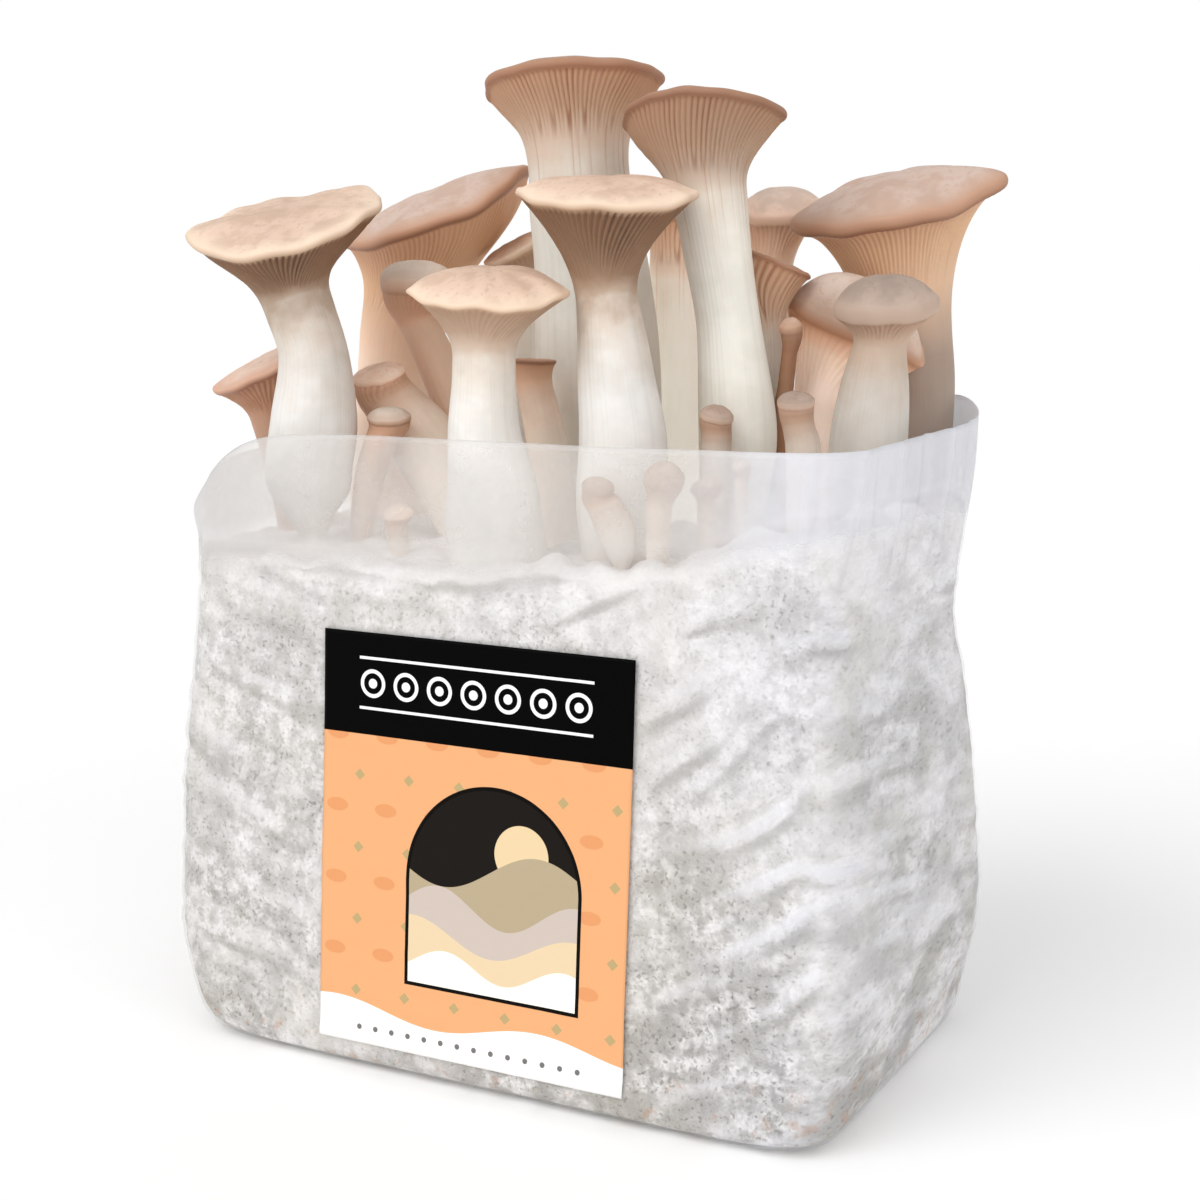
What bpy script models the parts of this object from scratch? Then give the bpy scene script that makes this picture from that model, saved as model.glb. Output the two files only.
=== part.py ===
"""King trumpet mushroom grow block.

A block of overgrown sawdust stands in a clear gusseted bag that is cut open at the top.
King trumpet mushrooms grow out of the block's top and stand up through the open collar.
X runs along the labelled front, Y to the back and Z up, with the origin at the middle of
the bag's base.  Lengths are in metres; the tables of places are in millimetres and are
turned into metres by MM.
"""
import math
from collections import namedtuple

import bmesh
import bpy
import numpy as np

MM = 0.001

# Driving dimensions of the bag and the block
FILM = 0.6 * MM
GAP = 0.3 * MM
BLOCK_TOP = 150 * MM
BLOCK_SHOULDER = 6 * MM
BAG_COLUMNS = 32

# The film droops at the front left corner of the collar and stands up at the back right
DROOP_DEPTH = 21 * MM
DROOP_ANGLE = math.radians(211)
DROOP_SPREAD = math.radians(24)
PEAK_HEIGHT = 7 * MM
PEAK_ANGLE = math.radians(48)
PEAK_SPREAD = math.radians(30)

# The label's sheet
LABEL_WIDTH = 99 * MM
LABEL_HEIGHT = 119.5 * MM
LABEL_THICKNESS = 0.25 * MM
LABEL_MIDDLE_X = 0.8 * MM
LABEL_BOTTOM = 9.5 * MM

# One level of the bag: height, the x of its left and right sides, the y of its front and
# back, and how square its corners are (2 is an ellipse, 10 is almost a rectangle)
Level = namedtuple("Level", "z left right front back squareness")
BAG_LEVELS = [
    Level(0, -90, 102, -68, 50, 9),
    Level(2, -95.5, 105, -71.5, 55, 10),
    Level(7, -101, 107.3, -73.5, 60.5, 11),
    Level(16, -106, 108.5, -73, 65, 11),
    Level(35, -110.5, 110.8, -72, 69.5, 10),
    Level(65, -111.2, 109.3, -70, 70, 10),
    Level(100, -108.6, 106, -67.5, 66.5, 10),
    Level(128, -105.6, 102, -66, 63.5, 10),
    Level(150, -105.4, 104, -65, 64.5, 9),
    Level(168, -107.2, 106, -64.5, 67, 8.5),
    Level(185, -104.5, 107, -64, 68.5, 7),
]

# Fineness of a mushroom's solid: columns round it, rings up its stem, rings over its gills
Fineness = namedtuple("Fineness", "columns stem_rings gill_rings top_rings")
LARGE = Fineness(20, 6, 4, 2)
MEDIUM = Fineness(14, 5, 3, 1)
SMALL = Fineness(8, 3, 2, 1)
PIN = Fineness(6, 2, 1, 1)

# A mushroom: its stem's points (x, y, z, radius) from the foot to the neck, its crown (the
# middle of the rim), the rim's radii across and deep, how far its axis leans to x and y for
# each unit up, how high the top domes above the rim, the rim's thickness, the height of the
# rim's waves, the depth of the flutes that stand for the gills, how full its flare is under the
# rim, how long it hugs the stem, its fineness and its colour, and the lobes of its rim, each with
# its middle and width in degrees and how far it reaches outward and up
Trumpet = namedtuple(
    "Trumpet", "name stem crown spread lean dome lip wave flute fullness hug fineness skin lobes",
    defaults=[()])
FOOT = 150.3
LEAST_RISE = 3 * MM

TRUMPETS = [
    Trumpet("trumpet_front_left",
            [(-66, -46, FOOT, 3), (-69, -44, 158, 7.7), (-70, -43, 171, 12.6),
             (-68, -42, 186, 12.7), (-68.5, -41, 205, 10.3), (-74, -41, 220, 10.2)],
            (-78, -40, 243.3), (30.2, 27), (-0.03, -0.35), 2.0, 2.6, 1.4, 0.8, 0.42, 0.42, LARGE, "cream",
            [(60, 40, 1.0, 1.2), (175, 20, -0.5, -0.6), (10, 20, 1.4, 0)]),
    Trumpet("trumpet_far_left",
            [(-90, -22, FOOT, 6), (-92, -22, 168, 7.2), (-95.5, -23, 184, 8.4)],
            (-98, -24, 200), (19.5, 17), (-0.38, -0.4), 1.5, 2.4, 0.6, 0.6, 0.34, 0.42, MEDIUM, "tan"),
    Trumpet("trumpet_back_left",
            [(-83, 29, FOOT, 12.5), (-85, 29, 173, 13.4), (-85, 29, 193, 13.4),
             (-84, 30, 207, 13.8)],
            (-71, 33, 247.7), (35, 29), (-0.28, -0.33), 4.2, 4.5, 1.0, 0.9, 0.42, 0.42, LARGE, "tan",
            [(10, 30, -1.5, 1.5), (-40, 30, 0.5, -0.5)]),
    Trumpet("trumpet_front_centre_left",
            [(-3, -47, FOOT, 14.2), (-4, -47, 160, 13.8), (-5, -46, 169, 12.7),
             (-8, -45, 183, 10.4), (-8, -45, 197, 9.2), (-8, -45, 206, 8.9)],
            (-6, -45, 223), (23.3, 20), (0.06, -0.14), 6.4, 1.8, 1.2, 0.6, 0.28, 0.42, LARGE, "cream"),
    Trumpet("trumpet_leaning_left",
            [(-40, 2, FOOT, 6.4), (-45, 1, 183, 6.4), (-51.6, -1, 202, 6.2),
             (-56.6, -2, 212, 5.8)],
            (-56, -4, 227), (11.8, 10), (0.14, -0.26), 4.5, 2.6, 0.3, 0.4, 0.4, 0.42, MEDIUM, "grey"),
    Trumpet("trumpet_hidden_centre",
            [(-44, 36, FOOT, 6), (-44, 36, 187, 5.8), (-44, 36, 215, 5.5)],
            (-44, 36, 230.5), (12, 9.5), (-0.28, -0.45), 1.6, 2.2, 0.4, 0.5, 0.24, 0.42, MEDIUM, "tan"),
    Trumpet("trumpet_tallest",
            [(-4, 18, FOOT, 18), (-4, 18, 175, 19), (-5, 18, 205, 19.2), (-7, 18, 230, 17.4),
             (-10, 17, 248, 15.8), (-11, 17, 259, 15.2)],
            (-12, 16, 284), (27.5, 25), (-0.11, 0.14), 3.0, 3.2, 0.4, 0.8, 0.34, 0.6, LARGE, "pale",
            [(185, 24, 1.2, -1.2), (0, 30, -0.8, -0.4)]),
    Trumpet("trumpet_front_centre",
            [(30, -34, FOOT, 11.2), (29, -33, 167, 12.6), (29, -32, 183, 12.2),
             (26, -31, 202, 10.4), (23, -30, 222, 8.5)],
            (23, -30, 249.6), (26.6, 20), (0.06, -0.15), 4.0, 2.4, 1.0, 0.8, 0.26, 0.42, LARGE, "cream"),
    Trumpet("trumpet_tall_right",
            [(46, 0, FOOT, 7.5), (49, 0, 170, 10.4), (50, -1, 187, 11.2), (47, -1, 214, 9.2),
             (42.5, 0, 236, 9.8), (40, 0, 250, 10.8)],
            (40, 0, 274), (21.5, 19.5), (0.01, 0.19), 2.0, 2.6, 0.5, 0.8, 0.38, 0.42, LARGE, "pale",
            [(185, 38, 4.5, -5), (2, 30, -0.6, -1.6), (-42, 30, 0.6, 1.5)]),
    Trumpet("trumpet_behind_centre",
            [(11, 45, FOOT, 9.6), (11, 45, 190, 9.6), (11, 44.5, 226, 8.8)],
            (11, 44, 246), (10.5, 10), (0.05, -0.15), 2.0, 1.8, 0.3, 0.4, 0.24, 0.42, MEDIUM, "pale"),
    Trumpet("trumpet_flat_topped",
            [(-2, -14, FOOT, 6.4), (-3, -14, 167, 6.4), (-6, -14, 183, 5.9),
             (-9, -14, 194, 5.4)],
            (-9, -14, 203), (6.3, 6), (0.03, 0.02), 0.3, 0.9, 0.1, 0.3, 0.24, 0.42, MEDIUM, "brown"),
    Trumpet("trumpet_back_small",
            [(42, 48, FOOT, 4.6), (39, 52, 195, 4.8), (35, 60, 227, 6.2)],
            (36, 63.5, 247), (13.5, 10.5), (0.02, -0.36), 5.0, 3.4, 0.3, 0.4, 0.24, 0.42, MEDIUM, "tan"),
    Trumpet("trumpet_gilled_small",
            [(53, 16.2, FOOT, 4.8), (52.6, 16.2, 190, 4.8), (52, 16.4, 209, 4.8)],
            (51, 17, 231.5), (14.4, 7.2), (0.34, 0.34), 0.8, 1.4, 0.4, 0.5, 0.45, 0.42, MEDIUM, "pale"),
    Trumpet("trumpet_tilted_right",
            [(67.5, 27, FOOT, 9), (67.5, 27, 176, 9.4), (68.5, 26.6, 190, 8.8)],
            (75.4, 26.6, 213.5), (22.2, 8.8), (0.38, -0.35), 13, 2.8, 0.4, 0.5, 0.4, 0.42, MEDIUM, "tan"),
    Trumpet("trumpet_front_right",
            [(88, 2, FOOT, 10), (88, 3, 178, 11), (89.5, 3, 195, 9.8), (91, 3, 209, 7.4)],
            (92.6, 3, 219), (14.8, 12.5), (-0.02, -0.2), 6.5, 4.6, 0.5, 0.5, 0.24, 0.42, MEDIUM, "grey"),
    Trumpet("trumpet_back_right",
            [(85, 49, FOOT, 12.5), (85, 49, 190, 12.8), (83, 49, 212, 13.6)],
            (79, 47, 248), (30.5, 27), (-0.13, -0.33), 6.0, 5.5, 1.0, 0.9, 0.0, 0.5, LARGE, "tan",
            [(130, 28, 4, 0), (215, 30, 3, -2.2), (172, 30, 1, -1.6), (0, 20, 4, 1.2)]),
    Trumpet("button_right",
            [(82, -27, FOOT, 3.2), (80.5, -26, 180, 3.6), (79, -26, 188, 3.4)],
            (78, -26, 194.6), (5.0, 4.4), (0.0, -0.2), 2.8, 1.8, 0.1, 0.2, 0.5, 0.42, SMALL, "tan"),
    Trumpet("button_behind_right",
            [(61, 8, FOOT, 2.8), (61, 8, 186, 2.8), (62.5, 8, 205, 2.8)],
            (62.5, 8, 213), (4.4, 4), (-0.05, -0.3), 2.2, 2.0, 0.1, 0.2, 0.5, 0.42, SMALL, "brown"),
    Trumpet("button_centre",
            [(52, -20, FOOT, 3.6), (52, -20, 178, 3.7), (52, -20, 184, 3.7)],
            (52, -20, 189.6), (4.4, 4.2), (0.25, -0.2), 2.6, 1.6, 0.1, 0.2, 0.5, 0.42, SMALL, "tan"),
    Trumpet("button_leaning_left",
            [(-30, -13, FOOT, 8.5), (-37, -15, 165, 9), (-47, -17, 179, 9),
             (-55, -18, 188, 8.4)],
            (-61, -18, 197.6), (8.8, 7.4), (-0.1, -0.36), 2.2, 1.6, 0.3, 0.3, 0.3, 0.42, SMALL, "cream"),
    Trumpet("button_back_left",
            [(-58, -34, FOOT, 3.4), (-54, -35, 168, 4.4), (-50, -35, 179, 4.8)],
            (-46.8, -34.5, 186.2), (7.2, 4.6), (0.0, -0.25), 2.4, 1.8, 0.2, 0.3, 0.5, 0.42, SMALL, "tan"),
    Trumpet("pin_front_left",
            [(-32, -53, FOOT, 3.2), (-33, -53, 157, 3.2)],
            (-32, -53, 161), (4.6, 4), (-0.04, -0.22), 2.0, 1.4, 0.1, 0, 0.6, 0.42, PIN, "cream"),
    Trumpet("pin_centre",
            [(36, -52, FOOT, 4.2), (33, -52, 165, 4.2)],
            (32, -52, 170.5), (5, 4.2), (0.25, -0.22), 2.6, 1.6, 0.1, 0, 0.6, 0.42, PIN, "cream"),
    Trumpet("pin_centre_tall",
            [(45, -47, FOOT, 3), (45.5, -47, 163, 3)],
            (46.5, -47, 168.5), (5.8, 3), (-0.34, -0.25), 1.2, 2.2, 0.1, 0, 0.6, 0.42, PIN, "tan"),
    Trumpet("pin_right_of_centre",
            [(57, -37, FOOT, 2.2), (56.6, -37, 167, 2.2)],
            (56.6, -37, 171.5), (3.4, 3), (-0.13, -0.25), 1.8, 1.4, 0.1, 0, 0.6, 0.42, PIN, "tan"),
    Trumpet("pin_back_right",
            [(61, -23, FOOT, 2), (61, -23, 172, 1.9)],
            (61, -23, 176), (2.8, 2.5), (-0.3, -0.3), 1.3, 1.3, 0, 0, 0.6, 0.42, PIN, "tan"),
    Trumpet("pin_round",
            [(69, -50, FOOT, 2), (69, -50, 154.5, 1.9)],
            (69, -50, 157), (3.1, 3), (0.1, -0.25), 1.6, 1.6, 0, 0, 0.6, 0.42, PIN, "tan"),
]

# Colour, roughness and metallic value of each finish
FINISHES = {
    "film": ((0.86, 0.87, 0.89), 0.35, 0.0),
    "mycelium": ((0.80, 0.79, 0.78), 0.90, 0.0),
    "paper": ((0.93, 0.55, 0.29), 0.60, 0.0),
    "cream": ((0.86, 0.76, 0.64), 0.65, 0.0),
    "tan": ((0.72, 0.56, 0.42), 0.65, 0.0),
    "grey": ((0.66, 0.58, 0.50), 0.65, 0.0),
    "pale": ((0.78, 0.72, 0.62), 0.65, 0.0),
    "brown": ((0.50, 0.32, 0.20), 0.70, 0.0),
}


def clear_scene():
    """Start from an empty scene."""
    for scene_object in list(bpy.data.objects):
        bpy.data.objects.remove(scene_object, do_unlink=True)


def finish(name):
    """The named finish as a Principled material, made once."""
    material = bpy.data.materials.get(name)
    if material is None:
        colour, roughness, metallic = FINISHES[name]
        material = bpy.data.materials.new(name)
        material.use_nodes = True
        shader = material.node_tree.nodes["Principled BSDF"]
        shader.inputs["Base Color"].default_value = (*colour, 1.0)
        shader.inputs["Roughness"].default_value = roughness
        shader.inputs["Metallic"].default_value = metallic
    return material


def add_object(name, points, faces, finish_name, collection):
    """A named object from its points and faces, smooth, with its faces pointing out."""
    mesh = bpy.data.meshes.new(name)
    mesh.from_pydata([tuple(point) for point in points], [], faces)
    shape = bmesh.new()
    shape.from_mesh(mesh)
    bmesh.ops.recalc_face_normals(shape, faces=shape.faces)
    shape.to_mesh(mesh)
    shape.free()
    mesh.shade_smooth()
    mesh.materials.append(finish(finish_name))
    piece = bpy.data.objects.new(name, mesh)
    collection.objects.link(piece)
    return piece


def loft_faces(rings, columns):
    """Quads between rings of points that follow each other."""
    faces = []
    for ring in range(rings - 1):
        for column in range(columns):
            after = (column + 1) % columns
            low, high = ring * columns, (ring + 1) * columns
            faces.append((low + column, low + after, high + after, high + column))
    return faces


def fan_faces(first, columns, centre):
    """Triangles that close a ring of points at its centre point."""
    return [(first + column, first + (column + 1) % columns, centre) for column in range(columns)]


def level_at(height):
    """The bag's level at a height, between the listed levels (metres)."""
    table = np.array(BAG_LEVELS, dtype=float)
    values = [np.interp(height / MM, table[:, 0], column) for column in table.T[1:]]
    return Level(height / MM, *values)


def section(level, inset, height):
    """A closed outline of the bag, drawn in by inset: a rectangle with rounded corners."""
    angles = np.linspace(0, 2 * math.pi, BAG_COLUMNS, endpoint=False)
    across, along = np.cos(angles), np.sin(angles)
    power = 2 / level.squareness
    half_width = (level.right - level.left) / 2 * MM - inset
    half_depth = (level.back - level.front) / 2 * MM - inset
    x = (level.left + level.right) / 2 * MM + half_width * np.sign(across) * np.abs(across) ** power
    y = (level.front + level.back) / 2 * MM + half_depth * np.sign(along) * np.abs(along) ** power
    return np.stack([x, y, np.full(BAG_COLUMNS, height)], axis=1)


def shape_collar(ring, share):
    """Lower a ring of the collar at the front left corner and raise it at the back right."""
    angles = np.linspace(0, 2 * math.pi, BAG_COLUMNS, endpoint=False)
    drop = np.exp(-((angles - DROOP_ANGLE) / DROOP_SPREAD) ** 2)
    peak = np.exp(-((angles - PEAK_ANGLE) / PEAK_SPREAD) ** 2)
    ring[:, 2] += share * (PEAK_HEIGHT * peak - DROOP_DEPTH * drop)
    return ring


def build_bag(collection):
    """The film: an open cup lofted through the levels, given its thickness by Solidify."""
    rings = [section(level, 0.0, level.z * MM) for level in BAG_LEVELS]
    rings[-2] = shape_collar(rings[-2], 0.45)
    rings[-1] = shape_collar(rings[-1], 1.0)
    base = BAG_LEVELS[0]
    centre = ((base.left + base.right) / 2 * MM, (base.front + base.back) / 2 * MM, 0.0)
    points = np.vstack(rings + [np.array([centre])])
    faces = loft_faces(len(rings), BAG_COLUMNS)
    faces += [face[::-1] for face in fan_faces(0, BAG_COLUMNS, len(points) - 1)]
    bag = add_object("grow_bag", points, faces, "film", collection)
    wall = bag.modifiers.new("wall", "SOLIDIFY")
    wall.thickness = FILM
    wall.offset = -1
    return bag


def build_block(collection):
    """The block: it fills the bag up to its own flat top, with a rounded shoulder."""
    inset = FILM + GAP
    rings = []
    for level in BAG_LEVELS:
        height = level.z * MM + inset
        if height < BLOCK_TOP - BLOCK_SHOULDER:
            rings.append(section(level, inset, height))
    for angle in (0, 45, 90):
        turn = math.radians(angle)
        drawn_in = inset + BLOCK_SHOULDER * (1 - math.cos(turn))
        height = BLOCK_TOP - BLOCK_SHOULDER * (1 - math.sin(turn))
        rings.append(section(level_at(height), drawn_in, height))
    points = np.vstack(rings)
    low_centre = points[:BAG_COLUMNS].mean(axis=0)
    high_centre = points[-BAG_COLUMNS:].mean(axis=0)
    points = np.vstack([points, low_centre, high_centre])
    faces = loft_faces(len(rings), BAG_COLUMNS)
    faces += [face[::-1] for face in fan_faces(0, BAG_COLUMNS, len(points) - 2)]
    faces += fan_faces((len(rings) - 1) * BAG_COLUMNS, BAG_COLUMNS, len(points) - 1)
    return add_object("substrate_block", points, faces, "mycelium", collection)


def build_label(collection):
    """The label: a sheet that follows the front of the bag, a gap in front of it."""
    low, high = LABEL_BOTTOM, LABEL_BOTTOM + LABEL_HEIGHT
    heights = [low] + [level.z * MM for level in BAG_LEVELS if low < level.z * MM < high] + [high]
    edges = [LABEL_MIDDLE_X - LABEL_WIDTH / 2, LABEL_MIDDLE_X + LABEL_WIDTH / 2]
    points = []
    for height in heights:
        front = level_at(height).front * MM - GAP
        points += [(edge, front, height) for edge in edges]
    faces = [(2 * row, 2 * row + 1, 2 * row + 3, 2 * row + 2) for row in range(len(heights) - 1)]
    label = add_object("paper_label", points, faces, "paper", collection)
    sheet = label.modifiers.new("sheet", "SOLIDIFY")
    sheet.thickness = LABEL_THICKNESS
    sheet.offset = 1
    return label


def smooth_along(points, count):
    """Points evenly along a smooth curve through the given points (Catmull-Rom)."""
    points = np.array(points, dtype=float)
    padded = np.vstack([2 * points[0] - points[1], points, 2 * points[-1] - points[-2]])
    places = np.linspace(0, len(points) - 1, count)
    spans = np.minimum(places.astype(int), len(points) - 2)
    t = (places - spans)[:, None]
    before, start, end, after = (padded[spans + shift] for shift in range(4))
    return 0.5 * (2 * start + (end - before) * t + (2 * before - 5 * start + 4 * end - after) * t ** 2
                  + (3 * start - before - 3 * end + after) * t ** 3)


def frame_about(axis):
    """Two directions square to an axis: to the right and to the back."""
    axis = axis / np.linalg.norm(axis)
    right = np.array([1.0, 0.0, 0.0]) - axis[0] * axis
    right /= np.linalg.norm(right)
    return axis, right, np.cross(axis, right)


def rim_lobes(kind, angles):
    """How far the lobes of a rim reach outward and up at each angle round it."""
    outward, upward = np.zeros(len(angles)), np.zeros(len(angles))
    for middle, width, out, up in kind.lobes:
        apart = (np.degrees(angles) - middle + 180) % 360 - 180
        share = np.exp(-(apart / width) ** 2)
        outward += out * MM * share
        upward += up * MM * share
    return outward[:, None], upward[:, None]


def trumpet_rings(kind):
    """All rings of a mushroom, from its foot up the stem, over the gills and the rim."""
    fine = kind.fineness
    angles = np.linspace(0, 2 * math.pi, fine.columns, endpoint=False)
    circle = np.stack([np.cos(angles), np.sin(angles)], axis=1)
    spine = smooth_along(kind.stem, fine.stem_rings) * MM
    tangents = np.gradient(spine[:, :3], axis=0)
    tangents[0] = (0.0, 0.0, 1.0)
    rings = []
    for place, tangent in zip(spine, tangents):
        _, right, back = frame_about(tangent)
        rings.append(place[:3] + place[3] * (circle[:, :1] * right + circle[:, 1:] * back))

    crown = np.array(kind.crown) * MM
    axis, right, back = frame_about(np.array([kind.lean[0], kind.lean[1], 1.0]))
    across, deep = kind.spread[0] * MM, kind.spread[1] * MM
    outward_lobe, upward_lobe = rim_lobes(kind, angles)
    widened = 1 + outward_lobe / across
    reach = widened * (across * circle[:, :1] * right + deep * circle[:, 1:] * back)
    wave = kind.wave * MM * (np.sin(2 * angles + 0.6) + 0.6 * np.sin(5 * angles + 1.9)) / 1.6
    lift = (wave[:, None] + upward_lobe) * axis
    lip = kind.lip * MM
    gill_end = crown + 0.95 * reach + lift - 0.35 * lip * axis
    outward = reach / np.linalg.norm(reach, axis=1)[:, None]

    neck = rings[-1]
    stem_way = tangents[-1] / np.linalg.norm(tangents[-1])
    rise = np.maximum((gill_end - neck) @ stem_way, LEAST_RISE)[:, None]
    overhang = gill_end - neck - rise * stem_way
    leave = neck + kind.hug * rise * stem_way
    arrive = gill_end - 0.46 * overhang - kind.fullness * rise * axis
    flutes = np.where(np.arange(fine.columns) % 2 == 0, 0.5, -0.5)[:, None]
    for share in np.linspace(0, 1, fine.gill_rings + 1)[1:]:
        ring = ((1 - share) ** 3 * neck + 3 * share * (1 - share) ** 2 * leave
                + 3 * share ** 2 * (1 - share) * arrive + share ** 3 * gill_end)
        depth = kind.flute * MM * math.sin(math.pi * min(share, 0.8))
        rings.append(ring + flutes * depth * outward)

    rings.append(crown + reach + lift)
    rings.append(crown + 0.95 * reach + lift + 0.65 * lip * axis)
    for share in np.linspace(1, 0, fine.top_rings + 2)[1:-1]:
        rise_here = 0.65 * lip + kind.dome * MM * (1 - share ** 3)
        rings.append(crown + 0.95 * share * reach + share * lift + rise_here * axis)
    top = crown + (0.65 * lip + kind.dome * MM) * axis
    return rings, spine[0, :3], top


def build_trumpet(kind, collection):
    """One mushroom, cap and stem together, as a loft closed at its foot and its crown."""
    rings, foot, top = trumpet_rings(kind)
    columns = kind.fineness.columns
    points = np.vstack(rings + [foot[None, :], top[None, :]])
    faces = loft_faces(len(rings), columns)
    faces += [face[::-1] for face in fan_faces(0, columns, len(points) - 2)]
    faces += fan_faces((len(rings) - 1) * columns, columns, len(points) - 1)
    return add_object(kind.name, points, faces, kind.skin, collection)


def main():
    clear_scene()
    collection = bpy.data.collections.new("king_trumpet_grow_block")
    bpy.context.scene.collection.children.link(collection)
    build_bag(collection)
    build_block(collection)
    build_label(collection)
    for kind in TRUMPETS:
        build_trumpet(kind, collection)


main()
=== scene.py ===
import math

import bpy
import numpy as np
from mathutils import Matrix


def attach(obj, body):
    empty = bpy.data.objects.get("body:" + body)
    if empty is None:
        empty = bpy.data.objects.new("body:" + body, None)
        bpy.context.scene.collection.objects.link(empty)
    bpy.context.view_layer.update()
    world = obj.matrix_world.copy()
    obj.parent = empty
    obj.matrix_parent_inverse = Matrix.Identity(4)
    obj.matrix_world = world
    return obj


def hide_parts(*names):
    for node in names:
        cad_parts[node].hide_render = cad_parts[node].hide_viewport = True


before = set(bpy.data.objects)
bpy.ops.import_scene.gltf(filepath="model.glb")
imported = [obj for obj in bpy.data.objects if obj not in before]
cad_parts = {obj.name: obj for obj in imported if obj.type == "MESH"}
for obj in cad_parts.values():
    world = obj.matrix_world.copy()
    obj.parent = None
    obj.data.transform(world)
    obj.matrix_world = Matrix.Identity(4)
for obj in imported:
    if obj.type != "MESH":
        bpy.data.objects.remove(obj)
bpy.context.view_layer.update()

mm = 0.001


def ease(low, high, value):
    # 0 below low, 1 above high, and a smooth cubic step between them
    part = np.clip((value - low) / (high - low), 0, 1)
    return part * part * (3 - 2 * part)


def bell(value, middle, width):
    # 1 at the middle, falling off smoothly on both sides (a Gauss curve)
    return np.exp(-((value - middle) / width) ** 2)


def apart(place, middle, whole=360):
    # how far a place lies from the middle one on a circle whose whole way round is given
    return (place - middle + whole / 2) % whole - whole / 2


def softNoise(points, size, seed, waves=9):
    # a smooth random field of about -1 to 1: the sum of sine waves that run in random
    # directions, each about size long
    random = np.random.default_rng(seed)
    ways = random.normal(size=(waves, points.shape[-1]))
    lengths = size * random.uniform(0.7, 1.5, (waves, 1))
    ways *= 2 * math.pi / (lengths * np.linalg.norm(ways, axis=1)[:, None])
    phases = random.uniform(0, 2 * math.pi, waves)
    return np.sin(points @ ways.T + phases).sum(axis=-1) / waves ** 0.5


def unit(vectors):
    # each vector at length 1
    return vectors / np.linalg.norm(vectors, axis=-1, keepdims=True)


def surface(name, grid, wraps=True, lowPole=False, highPole=False, marks=None):
    # A mesh from a grid of points [row, column] in millimetres: neighbours are joined by quads,
    # wraps closes it round, and a pole at the end row's mean closes that end.  The UV map runs
    # round (u) and along (v), and each of marks is a value per point that a material can read.
    rows, columns = grid.shape[:2]
    around = columns if wraps else columns - 1
    row, column = np.meshgrid(np.arange(rows - 1), np.arange(around), indexing="ij")
    after = (column + 1) % columns
    quads = np.stack([row * columns + column, row * columns + after,
                      (row + 1) * columns + after, (row + 1) * columns + column], axis=-1)
    corners, sides = [quads.ravel()], [np.full(quads.size // 4, 4)]
    mapU = [np.stack([column, column + 1, column + 1, column], axis=-1).ravel() / around]
    mapV = [np.stack([row, row, row + 1, row + 1], axis=-1).ravel() / (rows - 1)]
    points = [grid.reshape(-1, 3)]
    marks = {key: np.asarray(value, dtype=float) for key, value in (marks or {}).items()}
    values = {key: [value.ravel()] for key, value in marks.items()}
    total = rows * columns
    for wanted, end, level in ((lowPole, 0, 0.0), (highPole, rows - 1, 1.0)):
        if wanted:
            points.append(grid[end].mean(axis=0)[None, :])
            first = end * columns + np.arange(columns)
            second = end * columns + (np.arange(columns) + 1) % columns
            ring = (second, first) if end == 0 else (first, second)
            corners.append(np.stack([*ring, np.full(columns, total)], axis=-1).ravel())
            sides.append(np.full(columns, 3))
            mapU.append(np.repeat(np.arange(columns) / columns, 3))
            mapV.append(np.full(3 * columns, level))
            for key, value in marks.items():
                values[key].append([value[end].mean()])
            total += 1
    points, corners, sides = (np.concatenate(parts) for parts in (points, corners, sides))
    mesh = bpy.data.meshes.new(name)
    mesh.vertices.add(len(points))
    mesh.vertices.foreach_set("co", points.ravel() * mm)
    mesh.loops.add(len(corners))
    mesh.loops.foreach_set("vertex_index", corners)
    mesh.polygons.add(len(sides))
    mesh.polygons.foreach_set("loop_start", np.concatenate([[0], np.cumsum(sides)[:-1]]))
    mesh.update(calc_edges=True)
    mapped = np.stack([np.concatenate(mapU), np.concatenate(mapV)], axis=-1)
    mesh.uv_layers.new(name="UVMap").data.foreach_set("uv", mapped.ravel())
    for key, value in values.items():
        made = mesh.attributes.new(key, "FLOAT", "POINT")
        made.data.foreach_set("value", np.concatenate(value))
    mesh.validate()
    mesh.shade_smooth()
    piece = bpy.data.objects.new(name, mesh)
    bpy.context.scene.collection.objects.link(piece)
    return piece


def thickened(piece, thickness, side):
    # the sheet gets a thickness in millimetres, inward where side is -1 and outward where 1
    wall = piece.modifiers.new("wall", "SOLIDIFY")
    wall.thickness = thickness * mm
    wall.offset = side
    return piece


def standFor(piece, material):
    # the piece takes its material, rides on the object and stands for the CAD node it is
    # named after
    piece.data.materials.append(material)
    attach(piece, "root")
    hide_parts(piece.name.replace("_look", ""))


def screen(red, green, blue):
    # a colour as it looks on screen, 0 to 255, turned to linear light
    parts = np.array([red, green, blue]) / 255
    linear = np.where(parts <= 0.04045, parts / 12.92, ((parts + 0.055) / 1.055) ** 2.4)
    return (*[float(part) for part in linear], 1.0)


def feed(tree, socket, value):
    # another node's output is linked to the socket, and anything else becomes its value
    if isinstance(value, bpy.types.NodeSocket):
        tree.links.new(value, socket)
    else:
        socket.default_value = value


def add(tree, kind, inputs=None, **settings):
    # a new node with its settings and inputs, laid out in rows of twelve
    made = tree.nodes.new(kind)
    for key, value in settings.items():
        setattr(made, key, value)
    for key, value in (inputs or {}).items():
        feed(tree, made.inputs[key], value)
    made.location = (190 * (len(tree.nodes) % 12), -230 * (len(tree.nodes) // 12))
    return made


def maths(tree, operation, first, second=0.0, third=0.0):
    # one step of arithmetic
    inputs = {0: first, 1: second, 2: third}
    return add(tree, "ShaderNodeMath", inputs, operation=operation).outputs[0]


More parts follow.
